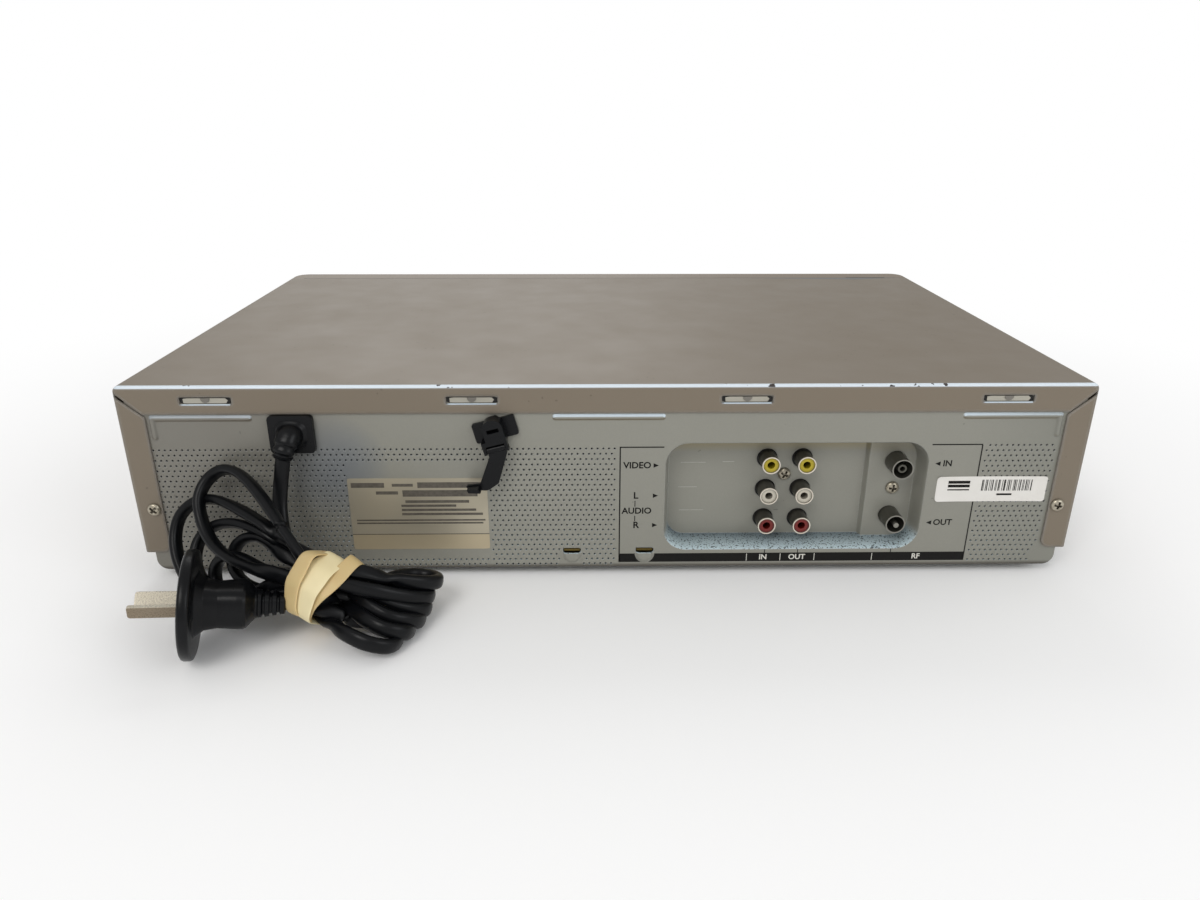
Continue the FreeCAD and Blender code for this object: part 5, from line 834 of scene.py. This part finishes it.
# Hook slots
# Four lanced slots in the cover's rear flange. In each, the panel's hook tongue shows as a pale strip with a small
# half-round stop pressed in its middle; a black back of painted shade fills both ends of the slot, and a pale strip of
# painted highlight runs along its lower lip.
def plate(outline, place, right, up, out):
    """A flat plate: a 2-D outline drawn with two directions and carried along a third."""
    outline = np.asarray(outline, float)
    face = place + outline[:, :1] * np.asarray(right) + outline[:, 1:] * np.asarray(up)
    count = len(outline)
    k = np.arange(count)
    walls = np.stack([k, (k + 1) % count, (k + 1) % count + count, k + count], -1).tolist()
    return np.concatenate([face, face + np.asarray(out)]), walls + [k[::-1].tolist(), (k + count).tolist()]


def outward(points, faces):
    """The same faces, all turned about if the solid that they close comes out with a volume below nought."""
    fans = np.array([(one[0], one[k], one[k + 1]) for one in faces for k in range(1, len(one) - 1)])
    first, second, third = points[fans[:, 0]], points[fans[:, 1]], points[fans[:, 2]]
    volume = np.einsum("ij,ij->", first - points[0], np.cross(second - points[0], third - points[0]))
    return points, faces if volume > 0 else [list(one)[::-1] for one in faces]


def solid(name, parts, material, bevel=0.0, sharp=0.7):
    """A rigid piece of one or more closed shapes: outward faces, a small bevel, and smooth shading up to an angle."""
    piece = skin(name, *together([outward(*part) for part in parts]), material)
    if bevel:
        edge = piece.modifiers.new("bevel", "BEVEL")
        edge.width, edge.segments, edge.angle_limit = bevel, 2, 0.6
        edge.harden_normals = True
    piece.data.set_sharp_from_angle(angle=sharp)
    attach(piece, "recorder")
    return piece


def plain_finish(name, dark, light, rough, scale=300.0, grain=0.15, **plain):
    """A finish of two near tones that a fine noise mixes, with a roughness and a grain of its own."""
    made, shade = finish_named(name)
    fine = shade.noise(scale * 4, 3.0)
    shade.finish(shade.mix(shade.noise(scale * 0.15, 3.0), dark, light),
                 shade.plus(shade.times(fine, 0.14), rough - 0.07), fine, grain, 0.0001, **plain)
    return made


east, back_way, north = np.eye(3)


def on_back(outline, y, thick):
    """A plate that lies flat on the rear side, from a level along Y outwards."""
    return plate(outline, y * back_way, east, north, thick * back_way)


SLOT_Z = 0.0873
shade_backs, tongues, stops, lip_highlights = [], [], [], []
turn = np.linspace(0, np.pi, 13)
for x in (0.1755, 0.0602, -0.0602, -0.1755):
    for pieces, half, low, high, corner, start, thick in (
            (shade_backs, 0.0111, -0.0015, 0.0015, 0.0003, 0.00002, 0.00008),
            (tongues, 0.0097, -0.0013, 0.0011, 0.0003, 0.00012, 0.0003),
            (lip_highlights, 0.0115, -0.0021, -0.0015, 0.0002, 0.0004, 0.00055)):
        outline = loop_of(x - half, x + half, SLOT_Z + low, SLOT_Z + high, corner, 0.002)
        pieces.append(on_back(outline, REAR + start, thick))
    half_round = np.stack([x + 0.0021 * np.cos(turn), SLOT_Z + 0.0011 - 0.0021 * np.sin(turn)], -1)
    stops.append(on_back(half_round, REAR + 0.00045, 0.00032))
# Black backs: painted shade in the ends of the slots.
solid("slot_shadow_backs", shade_backs, plain_finish("slot_shadow_black", (10, 9, 8), (22, 20, 18), 0.7))
solid("hook_tongues", tongues, plain_finish("tongue_paint", (150, 146, 134), (172, 168, 156), 0.45),
      bevel=0.0001)
solid("hook_stops", stops, plain_finish("stop_paint", (96, 92, 86), (122, 118, 110), 0.45), bevel=0.0002)
# A pale strip under each slot: a painted highlight along its lower lip.
solid("slot_lip_highlights", lip_highlights, plain_finish("lip_highlight_paint", (176, 190, 200), (206, 216, 224), 0.35, Metallic=0.2),
      bevel=0.00012)
tabs = [on_back(loop_of(x - 0.0040, x + 0.0040, 0.0117, 0.0129, 0.0, 0.002), REAR - 0.0022, 0.0009) for x in LOUVRE_X]
solid("louvre_tabs", tabs, plain_finish("tab_brass", (96, 78, 34), (150, 128, 66), 0.4, Metallic=0.5),
      bevel=0.0002)


# Cross-head screws
# Four zinc-plated pan-head screws, darkened in their recesses by painted shade and grime: two hold the cover's side
# flanges, one the jack block and one the tuner can.
def screw_head(x, y, z, turned, radius=0.0030, high=0.0018, rows=20, sides=72):
    """A pan head with a cross recess: height over a polar grid is a dome, less a pit where either arm of the cross
    lies, and each arm narrows with depth."""
    reach = np.concatenate([[0.0], np.linspace(0.0002, 1.0, rows) ** 0.9 * radius])
    way = np.linspace(0, 2 * np.pi, sides, endpoint=False)
    r, a = np.meshgrid(reach, way, indexing="ij")
    dome = high * (1 - 0.38 * (r / radius) ** 2 - 0.30 * np.clip(r / radius, 0, 1) ** 8)
    u, v = r * np.cos(a), r * np.sin(a)
    arm = np.minimum(*[np.maximum(np.abs(a) / 0.00185, np.abs(b) / 0.00046) for a, b in ((u, v), (v, u))])
    level = dome - 0.0011 * soft_step(-arm, -1.08, -0.72)
    across = u * np.cos(turned) - v * np.sin(turned)
    upward = u * np.sin(turned) + v * np.cos(turned)
    face = np.stack([x + across, y + level, z + upward], -1)
    skirt = np.stack([x + across[-1], np.full(sides, y - 0.0002), z + upward[-1]], -1)[None]
    points = np.concatenate([face[1:], skirt]).reshape(-1, 3)
    faces = grid_faces(rows + 1, sides, round_columns=True).tolist()
    faces += [[(k + 1) % sides, k, len(points)] for k in range(sides)] + [[rows * sides + k for k in range(sides)]]
    return np.concatenate([points, face[0, :1]]), faces


def shaded_in_hollows(made, reach, power, dark):
    """Paints shade into a finish's hollows: the open share of the sky within a reach, to a power, keeps its colour."""
    shade = Shade(made.node_tree)
    open_share = shade.add("AmbientOcclusion", samples=4, Distance=reach).outputs["AO"]
    socket = shade.base.inputs["Base Color"]
    shade.put(shade.mix(shade.maths("POWER", open_share, power), dark, socket.links[0].from_socket), socket)
    return made


zinc = plain_finish("screw_zinc", (150, 142, 124), (190, 184, 168), 0.32, Metallic=0.75)
shade = Shade(zinc.node_tree)
shade.put(shade.mix(shade.noise(900.0), (140, 130, 110), (196, 190, 174)), shade.base.inputs["Base Color"])
# Painted shade and grime in the screws' cross recesses.
shaded_in_hollows(zinc, 0.0012, 2.2, (46, 38, 28))
heads = [screw_head(*spot) for spot in (
    (0.2068, REAR + 0.0008, 0.0355, 0.75), (-0.2068, REAR + 0.0008, 0.0355, 0.2), (-0.0822, 0.1141, 0.0463, 0.5),
    (-0.1328, 0.1171, 0.0403, 0.1))]
screws = solid("cross_head_screws", heads, zinc, sharp=0.9)
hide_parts("rear_screws")


# Jacks
# Six phono jacks: dark plated shells with a painted highlight on their rims, round coloured inserts. Two aerial
# connectors: a wide socket and a plug with a centre pin. A black jack block and a plated tuner can stand behind them.
def lit_rim_shell(name, side_dark, side_light, rim, edge_y):
    """A plated shell: dull on its sides, with a painted highlight from a level along Y outwards."""
    made = plain_finish(name, side_dark, side_light, 0.38, Metallic=0.7)
    shade = Shade(made.node_tree)
    shade.cover(shade.ramp(shade.at("Y"), edge_y - 0.0004, edge_y + 0.0001), rim)
    return made


# Jack shells and, below, aerial connectors: each with a painted highlight on its rim.
dress(lit_rim_shell("jack_shell_metal", (62, 60, 54), (92, 90, 82), (222, 214, 200), 0.1226), "jack_shells")
for node, dark, light in (("video_jack_inserts", (150, 132, 14), (190, 172, 34)),
                          ("left_jack_inserts", (176, 170, 154), (206, 200, 186)),
                          ("right_jack_inserts", (92, 16, 12), (132, 26, 18))):
    # Each insert darkened with painted shade in its hollow.
    dress(shaded_in_hollows(plain_finish(node + "_plastic", dark, light, 0.35), 0.003, 1.6, (16, 13, 10)), node)
for name, node in (("aerial_metal", "aerial_in_socket"), ("aerial_plug_metal", "aerial_out_plug")):
    dress(lit_rim_shell(name, (62, 62, 56), (100, 98, 90), (140, 138, 130), 0.1272), node)
dress(plain_finish("jack_block_black", (20, 20, 20), (32, 31, 30), 0.5), "jack_block")
dress(plain_finish("tuner_can_tin", (128, 126, 118), (156, 152, 142), 0.35, Metallic=0.6), "aerial_can")


# Cord gland
# A square black plate with a moulded boot that bends down with the cord and thins along its ribs. It sits in the
# panel's round opening and takes the pull off the cord.
black_vinyl = plain_finish("moulded_black", (6, 7, 8), (12, 13, 16), 0.30, 220.0, 0.2, Specular_IOR_Level=0.2)
gland_plate = on_back(loop_of(0.1300, 0.1496, 0.06345, 0.08075, 0.0016, RIM_STEP), REAR + 0.0001, 0.0026)
boot_line = evenly(np.array([(0.1397, 0.1215, 0.0724), (0.1397, 0.1290, 0.0723), (0.1400, 0.1312, 0.0718),
                             (0.1405, 0.1332, 0.0704), (0.1412, 0.1345, 0.0682), (0.1419, 0.1351, 0.0657),
                             (0.1425, 0.1353, 0.0636)]), 0.0004)
along = np.linspace(0, 1, len(boot_line))
rib = soft_step(np.cos(along * 2 * np.pi * 6.5 + 1.1), 0.1, 0.5) * soft_step(along, 0.60, 0.64) * (along < 0.96)
taper = soft_step(along, 0.35, 1.0)
boot_wide = 0.0057 - 0.0013 * taper - 0.0006 * rib
boot_thin = 0.0054 - 0.0019 * taper - 0.0006 * rib
for half in (boot_wide, boot_thin):
    half[-3:] -= (0.0001, 0.0003, 0.0007)
boot_way = unit(np.gradient(boot_line, axis=0))
boot_across = unit(np.cross(boot_way, np.cross(east, boot_way)))
boot = oval_tube(boot_line, boot_across, np.cross(boot_way, boot_across), boot_wide, boot_thin, 36, 2.3)
shoulder = soft_step(np.linspace(0, 1, 9), 0, 1)
dome_line = np.linspace((0.1396, 0.1284, 0.0722), (0.1397, 0.1305, 0.0720), 9)
dome = oval_tube(dome_line, np.tile(east, (9, 1)), np.tile(north, (9, 1)), 0.0074 - 0.0018 * shoulder,
                 0.0069 - 0.0015 * shoulder, 36, 2.6)
gland = solid("cord_gland_boot", [gland_plate, boot, dome], black_vinyl, sharp=0.9)
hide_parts("cord_gland")


# Plug
# A moulded plug of the pattern with two slanted flat blades: a ribbed strain relief, a grip with a waist and flat
# sides, and a thin round guard flange. The nickel blades carry a painted brown reflection on faces that don't look up.
PLUG_X = np.array([0.267, -0.945, -0.187])
PLUG_X = unit(PLUG_X - PLUG_X @ PLUG_WAY * PLUG_WAY)
PLUG_Y = np.cross(PLUG_WAY, PLUG_X)


def along_plug(reach, wide, thin, sides, power):
    """An oval tube along the plug's own line, from its cord end."""
    line = PLUG_PLACE + reach[:, None] * PLUG_WAY
    return oval_tube(line, np.tile(PLUG_X, (len(line), 1)), np.tile(PLUG_Y, (len(line), 1)), wide, thin, sides, power)


# The grip's outline: how far along, half its width and half its thickness.
grip = np.array([
    (0.0, 4.0, 3.4), (0.4, 4.7, 4.0), (3.0, 5.0, 4.3), (11.4, 5.9, 5.3), (12.0, 6.6, 5.9), (14.6, 10.6, 8.4),
    (15.6, 11.0, 8.8), (18.0, 10.8, 8.8), (25.0, 9.8, 8.4), (30.0, 10.2, 9.2), (33.0, 12.2, 11.4), (34.2, 14.0, 13.4),
]) / 1000
length_at = np.unique(np.concatenate([grip[:, 0], np.linspace(0, 0.0342, 120)]))
groove = soft_step(np.cos(length_at / 0.0028 * 2 * np.pi), 0.15, 0.55) * (length_at > 0.0018) * (length_at < 0.0108)
grip_wide, grip_thin = [np.interp(length_at, grip[:, 0], grip[:, k]) - 0.0009 * groove for k in (1, 2)]
handle = along_plug(length_at, grip_wide, grip_thin, 48, 3.4)
rim = np.array([(33.5, 12), (33.5, 20.8), (33.8, 21.6), (34.5, 22), (36.6, 22), (37.4, 21.7), (37.9, 20.9), (38, 9),
                (38, 0.5)]) / 1000
disc = along_plug(rim[:, 0], rim[:, 1], rim[:, 1], 72, 2.0)
plug = solid("moulded_plug", [handle, disc], black_vinyl, sharp=0.8)
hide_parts("mains_plug")
blade_metal = plain_finish("blade_nickel", (168, 160, 142), (214, 208, 192), 0.28, Metallic=0.6)
shade = Shade(blade_metal.node_tree)
# A painted brown reflection on the blades' faces that do not look up.
shade.cover(shade.times(shade.minus(0.75, shade.up(), clamp=True), 0.75), (112, 92, 66))
lean = np.radians(30)
blades = []
for side in (-1, 1):
    root = PLUG_PLACE + 0.034 * PLUG_WAY + 0.00686 * side * PLUG_X
    wide_way = -np.sin(lean) * side * PLUG_X + np.cos(lean) * PLUG_Y
    thick_way = np.cross(PLUG_WAY, wide_way)
    tip = loop_of(0.0, 0.0230, -0.00315, 0.00315, 0.0011, 0.0006)
    blades.append(plate(tip, root - 0.0008 * thick_way, PLUG_WAY, wide_way, 0.0016 * thick_way))
blades = solid("flat_blades", blades, blade_metal, bevel=0.0003)
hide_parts("plug_blades")


# Rubber band
# A flat tan rubber band wound twice round the cord's waist. Each wrap follows the tight outline of the strands it
# holds; a paler inner layer shows between the wraps.
STRAND_REACH = 0.0027


def reach_round(strands, turns, thick):
    """How far a tight band stands from its middle at each turn: the least, over all the lines that touch the strands,
    of the line's distance over the cosine of the angle between it and the turn."""
    ways = np.stack([np.cos(turns), np.sin(turns)])
    support = (strands @ ways).max(0) + thick
    lean = np.cos(turns[:, None] - turns[None])
    return np.where(lean > 0.08, support[None] / np.maximum(lean, 0.08), 1.0).min(1)


def wrap(axis, shift, half_wide, thick, lift, ripple, steps=144, sides=20):
    """One wrap: a flat oval section carried round the strands in the plane across its axis. Its width and its place
    along the axis sway a little, as sines of the turn."""
    axis = unit(np.array(axis))
    middle = WAIST + shift * WAIST_WAY
    side = unit(np.cross(axis, north))
    up = np.cross(side, axis)
    off = centre - middle
    held = (np.abs(off @ axis) < half_wide + 0.001) & (np.linalg.norm(off, axis=1) < 0.021)
    strands = np.stack([off[held] @ side, off[held] @ up], -1)
    hub = strands.mean(0)
    turns = np.linspace(0, 2 * np.pi, steps, endpoint=False)
    reach = reach_round(strands - hub, turns, STRAND_REACH) + lift
    reach = np.mean([np.roll(reach, k) for k in range(-3, 4)], axis=0)
    section = np.linspace(0, 2 * np.pi, sides, endpoint=False)
    flat = np.sign(np.cos(section)) * np.abs(np.cos(section)) ** 0.45
    round_part = np.sign(np.sin(section)) * np.abs(np.sin(section)) ** 0.8
    width_now = half_wide * (1 + ripple * np.sin(3 * turns + 0.6))
    sway = 0.0009 * np.sin(2 * turns + 1.3) * ripple / 0.1
    radial = np.stack([np.cos(turns), np.sin(turns)], -1)
    away = reach[:, None] + thick * round_part[None] - 0.05 * thick * flat[None] ** 2
    plane = hub[None, None] + radial[:, None] * away[..., None]
    places = (middle + plane[..., :1] * side + plane[..., 1:] * up
              + (sway[:, None] + width_now[:, None] * flat[None])[..., None] * axis)
    return places.reshape(-1, 3), grid_faces(steps, sides, True, True).tolist()


band_rubber = plain_finish("band_rubber", (196, 166, 112), (220, 194, 142), 0.5, 260.0, 0.3, Subsurface_Weight=0.08)
pale_rubber = plain_finish("band_rubber_pale", (222, 206, 158), (238, 226, 186), 0.5, 260.0, 0.3)
band = solid("rubber_band_wraps", [wrap((0.82, -0.53, -0.03), 0.0036, 0.0038, 0.0005, 0.0008, 0.10),
                                   wrap((0.77, -0.39, 0.46), -0.0038, 0.0036, 0.0005, 0.0009, 0.12)],
             band_rubber, sharp=1.2)
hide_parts("rubber_band")
solid("rubber_band_inner", [wrap((0.80, -0.46, 0.23), -0.0002, 0.0060, 0.0004, 0.0002, 0.04)], pale_rubber,
      sharp=1.2)


# Clip, feet, fascia and the front
# Moulded and rubber pieces outside the case: the cord clip, the feet, the painted fascia with its door, flap and
# buttons, and a dark window. A shallow scoop and a dark slot of painted shadow lie in the cover's seam behind the
# fascia.
dress(black_vinyl, "cord_clip_base", "cord_clip_strap")
dress(plain_finish("foot_rubber", (18, 18, 18), (28, 27, 26), 0.8), "feet")
dress(plain_finish("fascia_paint", (112, 98, 80), (122, 108, 90), 0.42), "front_panel", "cassette_door", "front_flap")
dress(plain_finish("button_paint", (136, 128, 114), (148, 140, 126), 0.35), *[f"{work}_button" for work in (
    "power", "eject", "rewind", "play", "forward", "stop", "record", "channel_up", "channel_down")])
dress(plain_finish("window_smoke", (10, 10, 13), (17, 17, 21), 0.14), "display_window")
seams = [plate([(left, front), (left, back), (right, back), (right, front)], 0.09395 * north, east, back_way,
               high * north)
         for left, right, front, back, high in ((0.2050, -0.2050, -0.1183, -0.1178, 0.00008),
                                                (-0.171, -0.198, -0.1192, -0.1176, 0.0001))]
solid("cover_seam", seams, plain_finish("seam_shadow", (26, 24, 22), (40, 36, 32), 0.6))
scoop_x = np.linspace(-0.090, -0.2120, 31)
scoop_y = -0.1178 + 0.0062 * np.interp(scoop_x, [-0.2120, -0.1760, -0.090], [0, 1, 0]) ** 1.3
scoop = np.stack([np.r_[scoop_x, scoop_x[::-1]], np.r_[np.full(31, -0.1178), scoop_y[::-1]]], -1)
solid("cover_scoop", [plate(scoop, 0.09394 * north, east, back_way, 0.00009 * north)],
      plain_finish("scoop_paint", (92, 94, 94), (106, 106, 104), 0.45))


# Inside
# The pieces under the cover, plain but each in its own material: zinc-plated steel, boards, cast and turned
# aluminium, nylon, rubber and the display tube's glass.
for name, dark, light, rough, metal, nodes in (
        ("chassis_zinc", (118, 118, 112), (140, 140, 132), 0.42, 0.5, ("bottom_chassis",)),
        ("board_phenol", (116, 84, 44), (140, 104, 60), 0.6, 0.0, ("front_board",)),
        ("board_lacquer", (18, 66, 34), (30, 86, 48), 0.4, 0.0, ("main_board",)),
        ("part_black", (22, 22, 24), (38, 38, 40), 0.5, 0.0, ("board_parts", "front_switches")),
        ("tube_glass", (18, 32, 32), (28, 46, 44), 0.12, 0.0, ("display_tube",)),
        ("front_jack_yellow", (150, 132, 14), (182, 164, 32), 0.4, 0.0, ("front_jack_block",)),
        ("ferrite_core", (44, 40, 38), (66, 60, 54), 0.6, 0.0, ("power_transformer",)),
        ("sink_aluminium", (150, 152, 154), (172, 174, 176), 0.35, 0.9, ("power_heat_sink",)),
        ("deck_zinc", (146, 148, 146), (170, 172, 168), 0.35, 0.7, ("deck_plate", "carriage_brackets",
                                                                    "carriage_bar")),
        ("turned_aluminium", (166, 168, 172), (188, 190, 194), 0.2, 0.95, ("lower_drum", "head_drum")),
        ("bright_steel", (150, 150, 150), (180, 180, 180), 0.25, 0.95, ("capstan", "pinch_arm", "supply_loading_arm",
                                                                       "take_up_loading_arm", "tape_heads")),
        ("motor_can", (96, 96, 98), (124, 124, 126), 0.35, 0.8, ("capstan_motor", "loading_motor")),
        ("tray_black", (20, 20, 21), (32, 32, 33), 0.45, 0.0, ("cassette_tray",)),
        ("roller_rubber", (14, 14, 14), (24, 24, 24), 0.7, 0.0, ("pinch_roller",)),
        ("white_nylon", (190, 188, 178), (212, 210, 200), 0.4, 0.0, ("supply_reel", "take_up_reel", "cam_gear"))):
    dress(plain_finish(name, dark, light, rough, Metallic=metal), *nodes)
